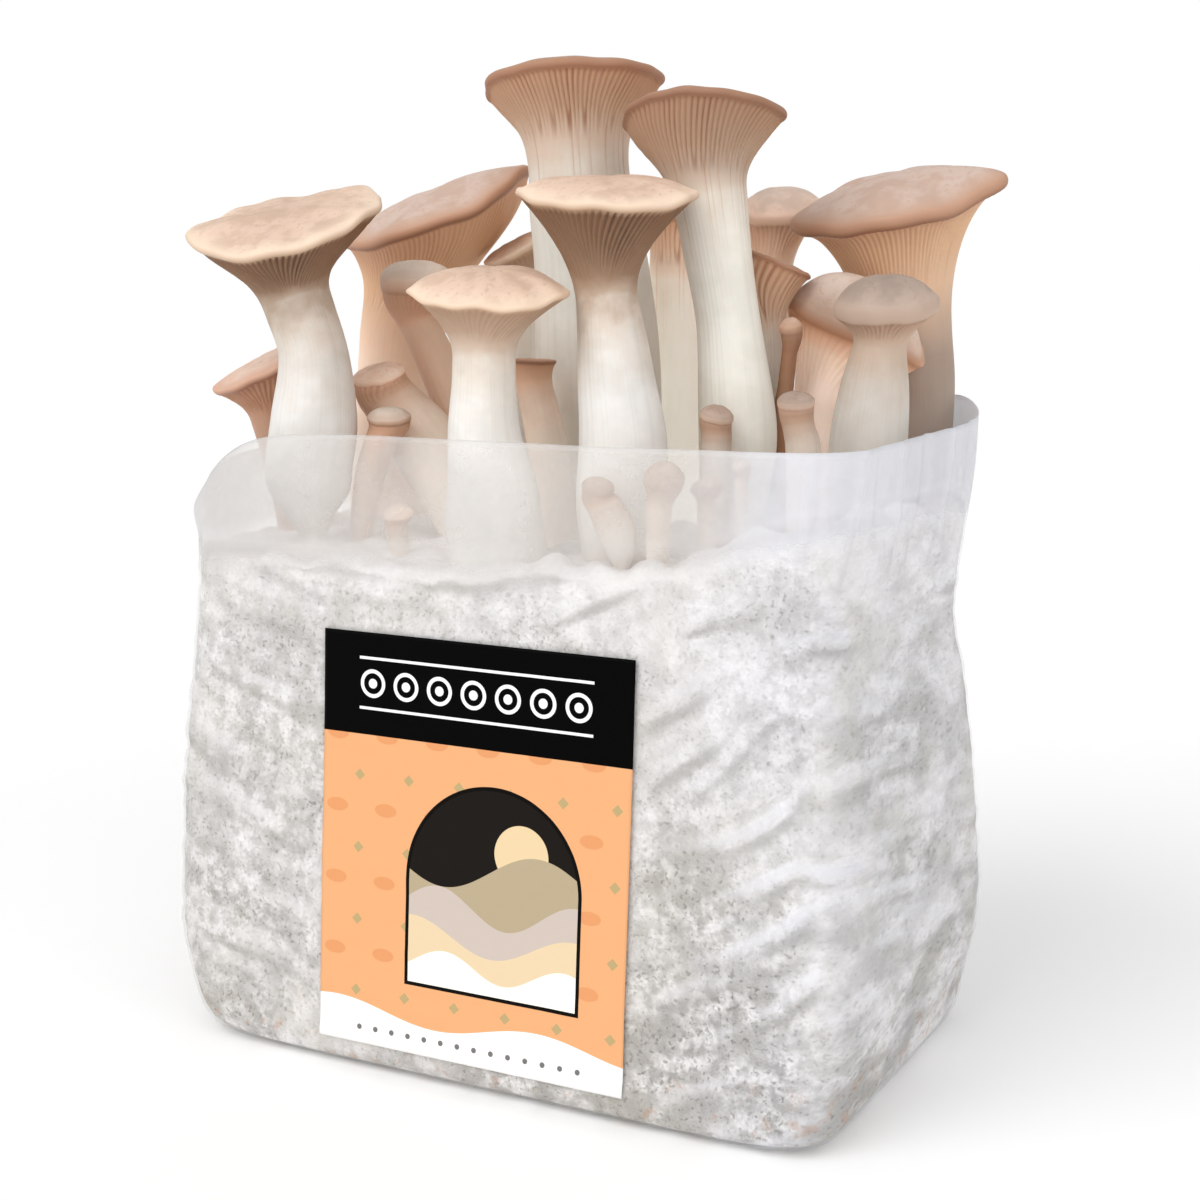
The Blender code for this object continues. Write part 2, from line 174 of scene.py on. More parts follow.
def scaled(tree, value, factor, start=0.0):
    # value times factor, plus start
    return maths(tree, "MULTIPLY_ADD", value, factor, start)


def times(tree, *values):
    # all the values multiplied
    product = values[0]
    for value in values[1:]:
        product = maths(tree, "MULTIPLY", product, value)
    return product


def mixed(tree, share, low, high):
    # from the low colour to the high one as share goes from 0 to 1; each of them is a node's
    # output or the three numbers of a colour on screen
    made = add(tree, "ShaderNodeMix", {0: share}, data_type="RGBA", blend_type="MIX", clamp_factor=True)
    for index, shade in ((6, low), (7, high)):
        feed(tree, made.inputs[index], screen(*shade) if isinstance(shade, tuple) else shade)
    return made.outputs[2]


def stretched(tree, value, low, high, start=0.0, end=1.0):
    # from start to end in a smooth step as value goes from low to high
    inputs = {"Value": value, "From Min": low, "From Max": high, "To Min": start, "To Max": end}
    return add(tree, "ShaderNodeMapRange", inputs, interpolation_type="SMOOTHSTEP").outputs[0]


def mark(tree, name):
    # a value that the mesh carries for each of its points
    made = add(tree, "ShaderNodeAttribute", attribute_type="GEOMETRY", attribute_name=name)
    return made.outputs["Fac"]


def placed(tree, kind="Object"):
    # the three parts of the coordinates of a kind, in metres for Object
    place = add(tree, "ShaderNodeTexCoord").outputs[kind]
    return add(tree, "ShaderNodeSeparateXYZ", {0: place}).outputs


def joined(tree, x, y, z):
    # a vector from its three parts
    return add(tree, "ShaderNodeCombineXYZ", {0: x, 1: y, 2: z}).outputs[0]


def vector(tree, operation, first, second):
    # one step of vector arithmetic
    return add(tree, "ShaderNodeVectorMath", {0: first, 1: second}, operation=operation).outputs[0]


def newGroup(name, inputs, outputs):
    # an empty node group with number sockets: inputs have a value each, outputs only a name
    tree = bpy.data.node_groups.new(name, "ShaderNodeTree")
    for label, value in inputs.items():
        socket = tree.interface.new_socket(name=label, in_out="INPUT", socket_type="NodeSocketFloat")
        socket.default_value = value
    for label in outputs:
        tree.interface.new_socket(name=label, in_out="OUTPUT", socket_type="NodeSocketFloat")
    return tree, tree.nodes.new("NodeGroupInput").outputs, tree.nodes.new("NodeGroupOutput").inputs


def use(tree, group, **inputs):
    # the group's outputs for these inputs
    made = add(tree, "ShaderNodeGroup", node_tree=group)
    for key, value in inputs.items():
        feed(tree, made.inputs[key], value)
    return made.outputs


def makePatches():
    # Soft patches: noise on object coordinates, Size in millimetres, cut round Level to a mask;
    # Depth below 1 draws them out from front to back
    inputs = {"Size": 10.0, "Level": 0.5, "Softness": 0.1, "Shift": 0.0, "Depth": 1.0}
    tree, given, wanted = newGroup("soft patches", inputs, ["Mask", "Value"])
    place = add(tree, "ShaderNodeTexCoord").outputs["Object"]
    place = vector(tree, "MULTIPLY", place, joined(tree, 1.0, given["Depth"], 1.0))
    place = vector(tree, "ADD", place, given["Shift"])
    scale = maths(tree, "DIVIDE", 1 / mm, given["Size"])
    inputs = {"Vector": place, "Scale": scale, "Detail": 3.0, "Roughness": 0.55}
    noise = add(tree, "ShaderNodeTexNoise", inputs).outputs["Fac"]
    low = maths(tree, "SUBTRACT", given["Level"], given["Softness"])
    high = maths(tree, "ADD", given["Level"], given["Softness"])
    feed(tree, wanted["Mask"], stretched(tree, noise, low, high))
    feed(tree, wanted["Value"], noise)
    return tree


def makeFibres():
    # Long fibres: noise on the UV map, drawn out along v, Around fibres round the piece
    tree, given, wanted = newGroup("long fibres", {"Around": 60.0, "Along": 3.0}, ["Value"])
    u, v, _ = placed(tree, "UV")
    turn = times(tree, u, 2 * math.pi)
    reach = maths(tree, "DIVIDE", given["Around"], 2 * math.pi)
    x = times(tree, maths(tree, "COSINE", turn), reach)
    y = times(tree, maths(tree, "SINE", turn), reach)
    inputs = {"Vector": joined(tree, x, y, times(tree, v, given["Along"])), "Scale": 1.0, "Detail": 2.0}
    feed(tree, wanted["Value"], add(tree, "ShaderNodeTexNoise", inputs).outputs["Fac"])
    return tree


patches = makePatches()
fibres = makeFibres()


def newMaterial(name):
    # a material with its node tree and its main shader's inputs
    material = bpy.data.materials.new(name)
    material.use_nodes = True
    return material, material.node_tree, material.node_tree.nodes["Principled BSDF"].inputs


def bump(tree, height, distance, strength):
    # a normal from a height, distance millimetres high where the height is 1
    inputs = {"Height": height, "Distance": distance * mm, "Strength": strength}
    return add(tree, "ShaderNodeBump", inputs).outputs[0]


# A run is a place round the bag: millimetres along the film from the front left corner, over the
# front (0 to 210), the right side (to 345), the back (to 555) and the left side (to 690).
bag = dict(
    front=210.0,              # width of the film's front, laid flat
    side=135.0,               # and of its side
    # height, left, right, front and back of the bag, and how square its corners are
    levels=[(0, -90, 102, -68, 50, 9), (2, -95.5, 105, -71.5, 55, 10), (7, -101, 107.3, -73.5, 60.5, 11),
            (16, -106, 108.5, -73, 65, 11), (35, -110.5, 110.8, -72, 69.5, 10),
            (65, -111.2, 109.3, -70, 70, 10), (100, -108.6, 106, -67.5, 66.5, 10),
            (128, -105.6, 102, -66, 63.5, 10), (150, -105.4, 104, -65, 64.5, 9),
            (168, -108, 106, -64.5, 67, 8.5), (185, -106, 107, -64, 68.5, 7)],
    wall=0.2,
    # how far the rim rises or droops, the angle where it does, and how wide, in degrees
    rim=[(-18, 216, 29), (7, 48, 30), (-7, 178, 26)],
    milky=-6,                 # the run where the collar is densest
    milkyWidth=30,
    columns=400,
    baseRows=[0, 1, 2, 3.5, 5.5, 8, 11],     # heights of the rows round the base's edge
    rows=89,                  # above them
)

# Folds of the film as lines on it: run and height of both ends, half width and height of the fold
folds = dict(
    lines=[
        (155, 113, 206, 135, 1.8, 0.6), (168, 94, 207, 118, 2.0, 0.7), (172, 76, 210, 100, 2.1, 0.9),
        (210, 100, 298, 96, 1.9, 0.5), (175, 57, 203, 74, 2.2, 0.6), (201, 59, 217, 69, 2.0, 0.5),
        (217, 69, 312, 56, 2.2, 0.45), (185, 36, 214, 52, 2.4, 0.6), (214, 49, 314, 42, 2.4, 0.4),
        (172, 137, 202, 149, 1.8, 0.4), (210, 117, 305, 111, 1.8, 0.3), (209, 135, 298, 127, 1.8, 0.25),
        (210, 184, 211, 92, 1.1, 1.0), (228, 186, 226, 150, 2.2, 1.1), (243, 188, 241, 148, 2.4, -1.0),
        (256, 188, 255, 152, 2.0, 1.0), (276, 190, 273, 150, 2.6, -1.1), (296, 192, 293, 152, 2.4, 1.1),
        (318, 192, 316, 150, 2.6, -1.0),
        (16, 167, 4, 169, 1.0, 0.6), (24, 148, 70, 145, 2.0, 0.5), (80, 146, 150, 151, 2.2, 0.5),
        (345, 186, 345, 100, 1.2, 1.0), (555, 184, 555, 100, 1.2, 1.0), (0, 160, 0, 96, 1.2, 0.8),
    ],
    bend=2.2,                 # how far a line bows sideways in its middle
    # how much higher a ridge is at a run
    shear=[(0, 0), (55, -16), (110, -18), (205, 33), (345, 20), (555, 8), (690, 0)],
    circle=22,                # radius of the circle that the noise runs round
    steep=1.3,                # how much closer together ridges lie up the bag
    ridges=1.1,               # height of the irregular ridges between the folds
    ridgeSize=24.0,
    groupSize=40.0,           # of the places where ridges stand or fade
    ripples=0.22,             # height of the small ripples on them
    rippleSize=8.0,
    inward=0.35,              # how far the film sinks between them all
    rimWaves=0.8,             # how far the rim waves in and out
    rimWaveSize=55.0,
)

bagRound = 2 * (bag["front"] + bag["side"])
bagTop = bag["levels"][-1][0]


def levelAt(height):
    # the bag's measures at any height: between two listed levels, a cubic that meets both of
    # them and their slopes (Hermite)
    table = np.array(bag["levels"], dtype=float)
    heights, values = table[:, 0], table[:, 1:]
    slopes = np.gradient(values, heights, axis=0)
    height = np.clip(height, heights[0], heights[-1])
    span = np.clip(np.searchsorted(heights, height, side="right") - 1, 0, len(heights) - 2)
    gap = (heights[span + 1] - heights[span])[..., None]
    t = (height - heights[span])[..., None] / gap
    return ((2 * t ** 3 - 3 * t ** 2 + 1) * values[span] + (t ** 3 - 2 * t ** 2 + t) * gap * slopes[span]
            + (3 * t ** 2 - 2 * t ** 3) * values[span + 1] + (t ** 3 - t ** 2) * gap * slopes[span + 1])


def foldRelief(run, height):
    # How far the film stands out at a place.  Each fold is a bell across its bent line, fading
    # at both ends.  Irregular ridges stand where a noise crosses zero.  They and small ripples
    # rise to the right on the right part of the front and fall to the right on its left part.
    relief = np.zeros(np.broadcast(run, height).shape)
    for startRun, startHeight, endRun, endHeight, width, rise in folds["lines"]:
        wayRun, wayHeight = endRun - startRun, endHeight - startHeight
        length = math.hypot(wayRun, wayHeight)
        fromRun, fromHeight = apart(run, startRun, bagRound), height - startHeight
        along = (fromRun * wayRun + fromHeight * wayHeight) / length ** 2
        across = (fromRun * wayHeight - fromHeight * wayRun) / length
        bend = folds["bend"] * np.sin(math.pi * along + startRun)
        relief += rise * bell(across, -bend, width) * ease(-0.15, 0.2, along) * ease(1.15, 0.8, along)
    place = run % bagRound
    shear = np.interp(place, *zip(*folds["shear"]))
    turn = np.broadcast_to(run, relief.shape) * 2 * math.pi / bagRound
    points = np.stack([folds["circle"] * np.cos(turn), folds["circle"] * np.sin(turn),
                       folds["steep"] * (height - shear)], axis=-1)
    below = ease(block["top"] + 2, block["top"] - 12, height)
    ridge = np.clip(1 - 1.3 * np.abs(softNoise(points, folds["ridgeSize"], 21)), 0, 1) ** 1.6
    ridge = ridge * ease(-0.9, 0.6, softNoise(points * [2.5, 2.5, 1.0], folds["groupSize"], 22))
    pastFront = ease(208, 218, place) * ease(690, 680, place)
    onLeft = ease(95, 40, place)
    relief += folds["ridges"] * (1 - 0.45 * pastFront - 0.35 * onLeft) * (ridge - 0.35) * below
    ripples = softNoise(points, folds["rippleSize"], 5) * (0.1 + 0.9 * below)
    return relief - folds["inward"] + folds["ripples"] * ripples


def foldLight(run, height):
    # how much a fold faces up: what it stands out 2 mm lower less what it does 2 mm higher
    return foldRelief(run, height - 2) - foldRelief(run, height + 2)


def bagPoints(run, height, inset=0.0, fold=1.0, square=0.0):
    # A point of the bag from run and height: the direction of the place on a plain rectangle, at
    # the distance where a rectangle with rounded corners (superellipse) of that level lies,
    # pushed out by the folds.  The rim is raised and lowered by bells round it.
    run, height = np.broadcast_arrays(np.asarray(run, dtype=float), np.asarray(height, dtype=float))
    knots = np.cumsum([0, bag["front"], bag["side"], bag["front"], bag["side"]])
    flatX = np.interp(run % bagRound, knots, np.array([-1, 1, 1, -1, -1]) * bag["front"] / 2)
    flatY = np.interp(run % bagRound, knots, np.array([-1, -1, 1, 1, -1]) * bag["side"] / 2)
    way = np.arctan2(flatY, flatX)
    left, right, front, back, power = np.moveaxis(levelAt(height), -1, 0)
    power = power + square
    halfX, halfY = (right - left) / 2 - inset, (back - front) / 2 - inset
    nearX, nearY = np.abs(np.cos(way)) / halfX, np.abs(np.sin(way)) / halfY
    reach = (nearX ** power + nearY ** power) ** (-1 / power)
    x, y = reach * np.cos(way), reach * np.sin(way)
    partX, partY = np.abs(x) / halfX, np.abs(y) / halfY
    out = unit(np.stack([np.sign(x) * partX ** (power - 1) / halfX,
                         np.sign(y) * partY ** (power - 1) / halfY, np.zeros_like(x)], axis=-1))
    turn = np.degrees(np.arctan2(np.sign(y) * partY ** (power / 2), np.sign(x) * partX ** (power / 2)))
    share = np.interp(height, [block["top"], 168, bagTop], [0, 0.45, 1])
    lifted = height.astype(float)
    for rise, angle, spread in bag["rim"]:
        lifted = lifted + share * rise * bell(apart(turn, angle), 0, spread)
    waves = folds["rimWaves"] * softNoise(run[..., None], folds["rimWaveSize"], 8)
    stand = fold * (foldRelief(run, height) * ease(0, 14, height) + ease(160, bagTop, height) * waves)
    points = np.stack([x + (left + right) / 2, y + (front + back) / 2, lifted], axis=-1)
    return points + stand[..., None] * out


def underLabel(run, height):
    # 1 behind the label, fading to 0 a little way outside its edges
    side, top = label["width"] / 2 + 0.5, label["bottom"] + label["height"]
    beside = ease(side + 10, side, np.abs(run - bag["front"] / 2 - label["middle"]))
    return beside * ease(top + 7, top - 1, height) * np.where(run < bag["front"], 1.0, 0.0)


def buildBag():
    # The film: its grid runs round the bag and up from the base, which a pole closes.  The
    # marks say where it is denser: on crests, above the block (collar), along its cut rim and
    # in the milky corner; and where a fold faces up (lit), whose added haze is a painted highlight.
    runs = np.linspace(0, bagRound, bag["columns"], endpoint=False)
    heights = np.concatenate([bag["baseRows"], np.linspace(14, bagTop, bag["rows"])])
    run, height = np.meshgrid(runs, heights)
    calm = 1 - 0.85 * underLabel(run, height)
    fromEdge = height - np.interp(run, *zip(*block["climb"])) - block["top"]
    above = ease(-1, 4, fromEdge)
    onRight = ease(155, 215, run) * ease(610, 560, run)
    collar = above * (0.19 + 0.28 * onRight) + 0.30 * onRight * bell(fromEdge, -1, 3.5)
    marks = {
        "crest": np.clip((foldRelief(run, height) + 0.2) / 1.2, 0, 1) * calm,
        "lit": foldLight(run, height) * calm * (1 - 0.8 * above),
        "collar": collar + 0.16 * bell(height, block["top"] + 0.5, 4) * ease(160, 120, run),
        "rim": ease(bagTop - 1.5, bagTop - 0.4, height),
        "milky": ease(138, 156, height) * bell(apart(run, bag["milky"], bagRound), 0, bag["milkyWidth"]),
    }
    piece = surface("grow_bag_look", bagPoints(run, height, 0.0, calm), lowPole=True, marks=marks)
    return thickened(piece, bag["wall"], -1)


block = dict(
    top=150.0,
    shoulder=4.0,
    gap=0.6,                  # from the bag's outside to the block
    squarer=-0.2,             # how much squarer its corners are than the bag's
    # how far its edge climbs up the film at a run
    climb=[(0, -1), (100, 0), (150, 4), (174, 6), (202, 15), (225, 18), (300, 15), (345, 9),
           (400, 0), (690, -1)],
    uneven=1.3,               # height of the waves of that edge
    lumps=1.3,                # height of the lumps on its top
    columns=360,
    baseRows=[0, 1, 2.5, 4.5, 7.5, 11],
    rows=88,
    topRings=44,
)


def buildBlock():
    # the sides follow the bag's folds at a gap, a quarter circle rounds the shoulder, which
    # climbs up the film on the right, and the top's rings shrink to the middle over lumps
    gap, top, shoulder = block["gap"], block["top"], block["shoulder"]
    runs = np.linspace(0, bagRound, block["columns"], endpoint=False)
    turn = runs * 2 * math.pi / bagRound
    circle = 110 * np.stack([np.cos(turn), np.sin(turn)], axis=-1)
    climb = np.interp(runs, *zip(*block["climb"])) + block["uneven"] * softNoise(circle, 24, 12)
    heights = np.concatenate([block["baseRows"], np.linspace(15, top - shoulder, block["rows"])])
    run, height = np.meshgrid(runs, heights)
    height = height + climb * ease(105, top - shoulder, height)
    calm = 0.8 - 0.7 * underLabel(run, height)
    sides = bagPoints(run, height, gap, calm, block["squarer"])
    sides[..., 2] = np.maximum(sides[..., 2], 0) + gap * ease(30, 0, height)
    turns = np.radians([18, 36, 54, 72, 90])[:, None]
    edge = bagPoints(runs[None, :], top + climb[None, :] - shoulder * (1 - np.sin(turns)),
                     gap + shoulder * (1 - np.cos(turns)), 0.6, block["squarer"])
    middle = edge[-1].mean(axis=0)
    shares = np.linspace(1, 0, block["topRings"] + 1)[1:-1, None, None]
    inner = middle + (edge[-1][None] - middle) * shares
    inner[..., 2] = top + (edge[-1][None, :, 2] - top) * ease(0.80, 1.0, shares[..., 0])
    grid = np.concatenate([sides, edge, inner])
    onTop = np.ones(grid.shape[:2])
    onTop[:len(sides)] = ease(top - 9, top - 1, height - climb)
    lumps = softNoise(grid, 14, 3) * 0.7 + softNoise(grid, 5, 4) * 0.35
    grid[..., 2] += onTop * block["lumps"] * lumps
    lit = np.zeros(grid.shape[:2])
    lit[:len(sides)] = foldLight(run, height) * calm
    marks = {"onTop": onTop, "lit": lit}
    return surface("substrate_block_look", grid, lowPole=True, highPole=True, marks=marks)


label = dict(
    width=99.0,
    height=119.5,
    middle=0.8,               # x of its middle
    bottom=9.5,
    paper=0.2,
    off=0.45,                 # how far its back stands off the film
    columns=100,
    rows=120,
    # colours of the warm field, of its leaves and of its diamonds
    field=[(236, 174, 124), (229, 158, 107), (190, 167, 120)],
    # the window's outline, its backdrop and the disc in it
    window=[(16, 14, 12), (30, 26, 23), (233, 208, 166)],
    # each hill's height, how far it waves, the length of its waves, their start and its colour
    hills=[(56.0, 6.0, 60.0, 0.4, (184, 168, 139)), (45.0, 5.0, 44.0, 2.2, (205, 191, 181)),
           (36.0, 4.5, 52.0, 4.1, (232, 209, 172)), (28.0, 3.5, 38.0, 0.9, (254, 250, 241))],
    # the same for the white foot, and the colour of the dots on it
    foot=(10.5, 2.6, 66.0, 1.0, (252, 252, 251)),
    dots=(120, 118, 116),
    band=(2, 2, 2),           # the dark band from bandFrom up
    bandFrom=90.2,
    rings=(248, 248, 246),    # rings and rules on the band
)


def buildLabel():
    # a sheet that lies on the front of the film and follows it
    x = np.linspace(-label["width"] / 2, label["width"] / 2, label["columns"]) + label["middle"]
    z = np.linspace(label["bottom"], label["bottom"] + label["height"], label["rows"])
    grid = bagPoints(*np.meshgrid(x + bag["front"] / 2, z), -label["off"], 0.15)
    grid[..., 0] = x[None, :]
    return thickened(surface("paper_label_look", grid, wraps=False), label["paper"], 1)


# How much each mark and each patch adds to the film's haze, which is 1 where it hides all
film = dict(
    haze=0.06,                # everywhere
    crest=0.13,
    # haze where a fold faces up, a painted highlight
    lit=0.12,
    collar=1.0,
    wide=0.07,
    creases=0.03,
    rim=0.14,
    milky=0.62,
    tints=[(232, 229, 226), (240, 241, 247)],     # on the left and on the right
    milk=(218, 215, 214),
)


def filmMaterial():
    # clear film: its alpha is the sum of the faint haze everywhere and what each mark and patch
    # adds, the haze where folds face up being a painted highlight, and its tint turns cooler to the right
    material, tree, shader = newMaterial("bag film")
    milky = mark(tree, "milky")
    tint = mixed(tree, stretched(tree, placed(tree)[0], 0.05, 0.10), *film["tints"])
    feed(tree, shader["Base Color"], mixed(tree, milky, tint, film["milk"]))
    wide = use(tree, patches, Size=26.0, Level=0.52, Softness=0.14, Shift=3.0)["Mask"]
    denser = {
        "crest": mark(tree, "crest"),
        "lit": stretched(tree, mark(tree, "lit"), 0.1, 1.0),
        "collar": mark(tree, "collar"),
        "wide": wide,
        "creases": use(tree, patches, Size=7.0, Level=0.55, Softness=0.12)["Mask"],
        "rim": mark(tree, "rim"),
        "milky": milky,
    }
    haze = film["haze"]
    for name, mask in denser.items():
        haze = scaled(tree, mask, film[name], haze)
    feed(tree, shader["Alpha"], haze)
    feed(tree, shader["Roughness"], scaled(tree, wide, 0.12, 0.30))
    shader["IOR"].default_value = 1.5
    return material


mycelium = dict(
    white=(248, 246, 248),
    # the warm grey lower down and to the right: partly more sawdust showing, partly painted shade
    aged=(234, 231, 228),
    # size, level, softness and shift of the patches, and how much they are drawn out in depth
    patches=dict(wide=(38.0, 0.50, 0.15, 0.0, 0.4), middle=(12.0, 0.51, 0.12, 2.0, 0.4),
                 small=(4.0, 0.52, 0.13, 4.0, 0.4), fine=(1.1, 0.52, 0.14, 5.0, 0.4),
                 grain=(1.3, 0.61, 0.05, 6.0, 0.4), cream=(24.0, 0.55, 0.1, 11.0, 1.0),
                 crumbs=(6.0, 0.62, 0.05, 9.0, 1.0)),
    # colour and strength of each layer; two of them paint shade on a fold's lower side and light on its
    # upper side
    layers=dict(middle=((180, 177, 173), 1.0), small=((160, 157, 152), 0.90),
                fine=((140, 137, 132), 0.36), grain=((112, 107, 99), 1.0),
                under=((150, 147, 142), 0.62), upper=((247, 246, 249), 0.65),
                cream=((222, 214, 186), 0.12), crumbs=((186, 140, 104), 0.5)),
)


def myceliumMaterial():
    # White mycelium over sawdust.  It is whitest at the top and turns to a warm grey with more
    # dark grains lower down and to the right, where the grey is partly more sawdust showing and
    # partly painted shade.  Folds get painted shade on their lower side and a painted highlight on
    # their upper side, and bare crumbs show along the foot.
    material, tree, shader = newMaterial("mycelium")
    x, _, z = placed(tree)
    # where the block greys: partly sawdust showing, partly painted shade on its lower and right faces
    right, low = stretched(tree, x, -0.02, 0.11), stretched(tree, z, 0.135, 0.02)
    aged = scaled(tree, right, 0.33, scaled(tree, low, 0.55, 0.10))
    spots = {}
    for name, values in mycelium["patches"].items():
        given = dict(zip(("Size", "Level", "Softness", "Shift", "Depth"), values))
        spots[name] = use(tree, patches, **given)["Mask"]
    zone = times(tree, scaled(tree, spots["wide"], 0.6, 0.4), scaled(tree, aged, 0.75, 0.5),
                 scaled(tree, mark(tree, "onTop"), -0.8, 1.0), stretched(tree, z, 0.165, 0.115, 0.4, 1.0))
    tight = times(tree, zone, stretched(tree, x, 0.094, 0.103, 1.0, 0.55))
    lit = mark(tree, "lit")
    masks = {
        "middle": times(tree, spots["middle"], zone),
        "small": times(tree, spots["small"], tight),
        "fine": times(tree, spots["fine"], tight),
        "grain": times(tree, spots["grain"], tight, scaled(tree, spots["middle"], 0.55, 0.65)),
        # painted shade below each fold and painted light above it, from how much the fold faces up
        "under": stretched(tree, lit, 0.0, -0.8),
        "upper": stretched(tree, lit, 0.0, 0.8),
        "cream": spots["cream"],
        "crumbs": times(tree, spots["crumbs"], stretched(tree, z, 0.028, 0.006)),
    }
    colour = mixed(tree, times(tree, aged, 0.55), mycelium["white"], mycelium["aged"])
    for name, (shade, strength) in mycelium["layers"].items():
        colour = mixed(tree, times(tree, masks[name], strength), colour, shade)
    feed(tree, shader["Base Color"], colour)
    shader["Roughness"].default_value = 0.9
    relief = scaled(tree, spots["small"], -0.6, times(tree, spots["fine"], -0.4))
    feed(tree, shader["Normal"], bump(tree, relief, 0.5, 0.6))
    return material


def labelMaterial():
    # A plain printed label, in millimetres from its lower left corner: a dark band with rings
    # and rules, a warm field with leaves and diamonds, an arched window with hills and a disc,
    # and a white foot with a wavy edge.  Each shape is a mask of comparisons on x and y.
    material, tree, shader = newMaterial("label paper")
    u, v, _ = placed(tree, "UV")
    x, y = times(tree, u, label["width"]), times(tree, v, label["height"])

    def under(value, high):
        # 1 where the value is under high
        return maths(tree, "LESS_THAN", value, high)

    def between(value, low, high):
        # 1 where the value is over low and under high
        return times(tree, maths(tree, "GREATER_THAN", value, low), under(value, high))

    def distance(fromX, fromY, centreX, centreY, wideness=1.0):
        # the root of the squares' sum, with the sideways part divided by the wideness
        sideways = maths(tree, "DIVIDE", maths(tree, "SUBTRACT", fromX, centreX), wideness)
        upward = maths(tree, "SUBTRACT", fromY, centreY)
        squares = scaled(tree, sideways, sideways, times(tree, upward, upward))
        return maths(tree, "SQRT", squares)

    def hill(level, rise, length, shift):
        # 1 below a sine wave round the level
        wave = maths(tree, "SINE", scaled(tree, x, 2 * math.pi / length, shift))
        return under(y, scaled(tree, wave, rise, level))

    def arch(grown):
        # 1 in a window with a round head, grown outward by some millimetres
        straight = times(tree, between(x, 30.0 - grown, 84.0 + grown), between(y, 21.0 - grown, 52.0))
        head = times(tree, under(distance(x, y, 57.0, 52.0), 27.0 + grown),
                     maths(tree, "GREATER_THAN", y, 51.9))
        return maths(tree, "MAXIMUM", straight, head)

    # the warm field and its small pattern, in cells of 16.5 by 21
    cellX, cellY = maths(tree, "WRAP", x, 0.0, 16.5), maths(tree, "WRAP", y, 0.0, 21.0)
    awayX, awayY = maths(tree, "SUBTRACT", cellX, 12.5), maths(tree, "SUBTRACT", cellY, 15.5)
    away = maths(tree, "ADD", maths(tree, "ABSOLUTE", awayX), maths(tree, "ABSOLUTE", awayY))
    field, leaf, diamond = label["field"]
    colour = mixed(tree, under(distance(cellX, cellY, 5.0, 6.0, 1.9), 1.9), field, leaf)
    colour = mixed(tree, under(away, 1.7), colour, diamond)

    # the arched window
    outline, backdrop, disc = label["window"]
    colour = mixed(tree, arch(1.1), colour, outline)
    picture = mixed(tree, under(distance(x, y, 66.0, 62.0), 8.5), backdrop, disc)
    for *shape, shade in label["hills"]:
        picture = mixed(tree, hill(*shape), picture, shade)
    colour = mixed(tree, arch(0.0), colour, picture)

    # the white foot, with a row of grey dots
    *shape, shade = label["foot"]
    colour = mixed(tree, hill(*shape), colour, shade)
    dots = under(distance(maths(tree, "WRAP", x, 0.0, 5.5), y, 2.75, 4.6), 0.8)
    colour = mixed(tree, times(tree, dots, between(x, 11.0, 88.0)), colour, label["dots"])

    # the dark band with its rings and rules
    onBand = maths(tree, "GREATER_THAN", y, label["bandFrom"])
    colour = mixed(tree, onBand, colour, label["band"])
    fromRing = distance(maths(tree, "WRAP", x, 0.0, 11.0), y, 5.5, 105.0)
    rings = times(tree, maths(tree, "MAXIMUM", between(fromRing, 3.0, 4.1), under(fromRing, 1.4)),
                  between(x, 11.0, 88.0))
    rules = times(tree, maths(tree, "MAXIMUM", between(y, 97.4, 98.2), between(y, 111.8, 112.6)),
                  between(x, 12.0, 87.0))
    colour = mixed(tree, maths(tree, "MAXIMUM", rings, rules), colour, label["rings"])
    feed(tree, shader["Base Color"], colour)

    shader["Specular IOR Level"].default_value = 0.04
    tooth = use(tree, patches, Size=0.8, Level=0.5, Softness=0.3)["Value"]
    feed(tree, shader["Roughness"], scaled(tree, tooth, 0.2, 0.35))
    feed(tree, shader["Normal"], bump(tree, tooth, 0.05, 0.4))
    return material


foot = 150.3                  # height where the stems leave the block
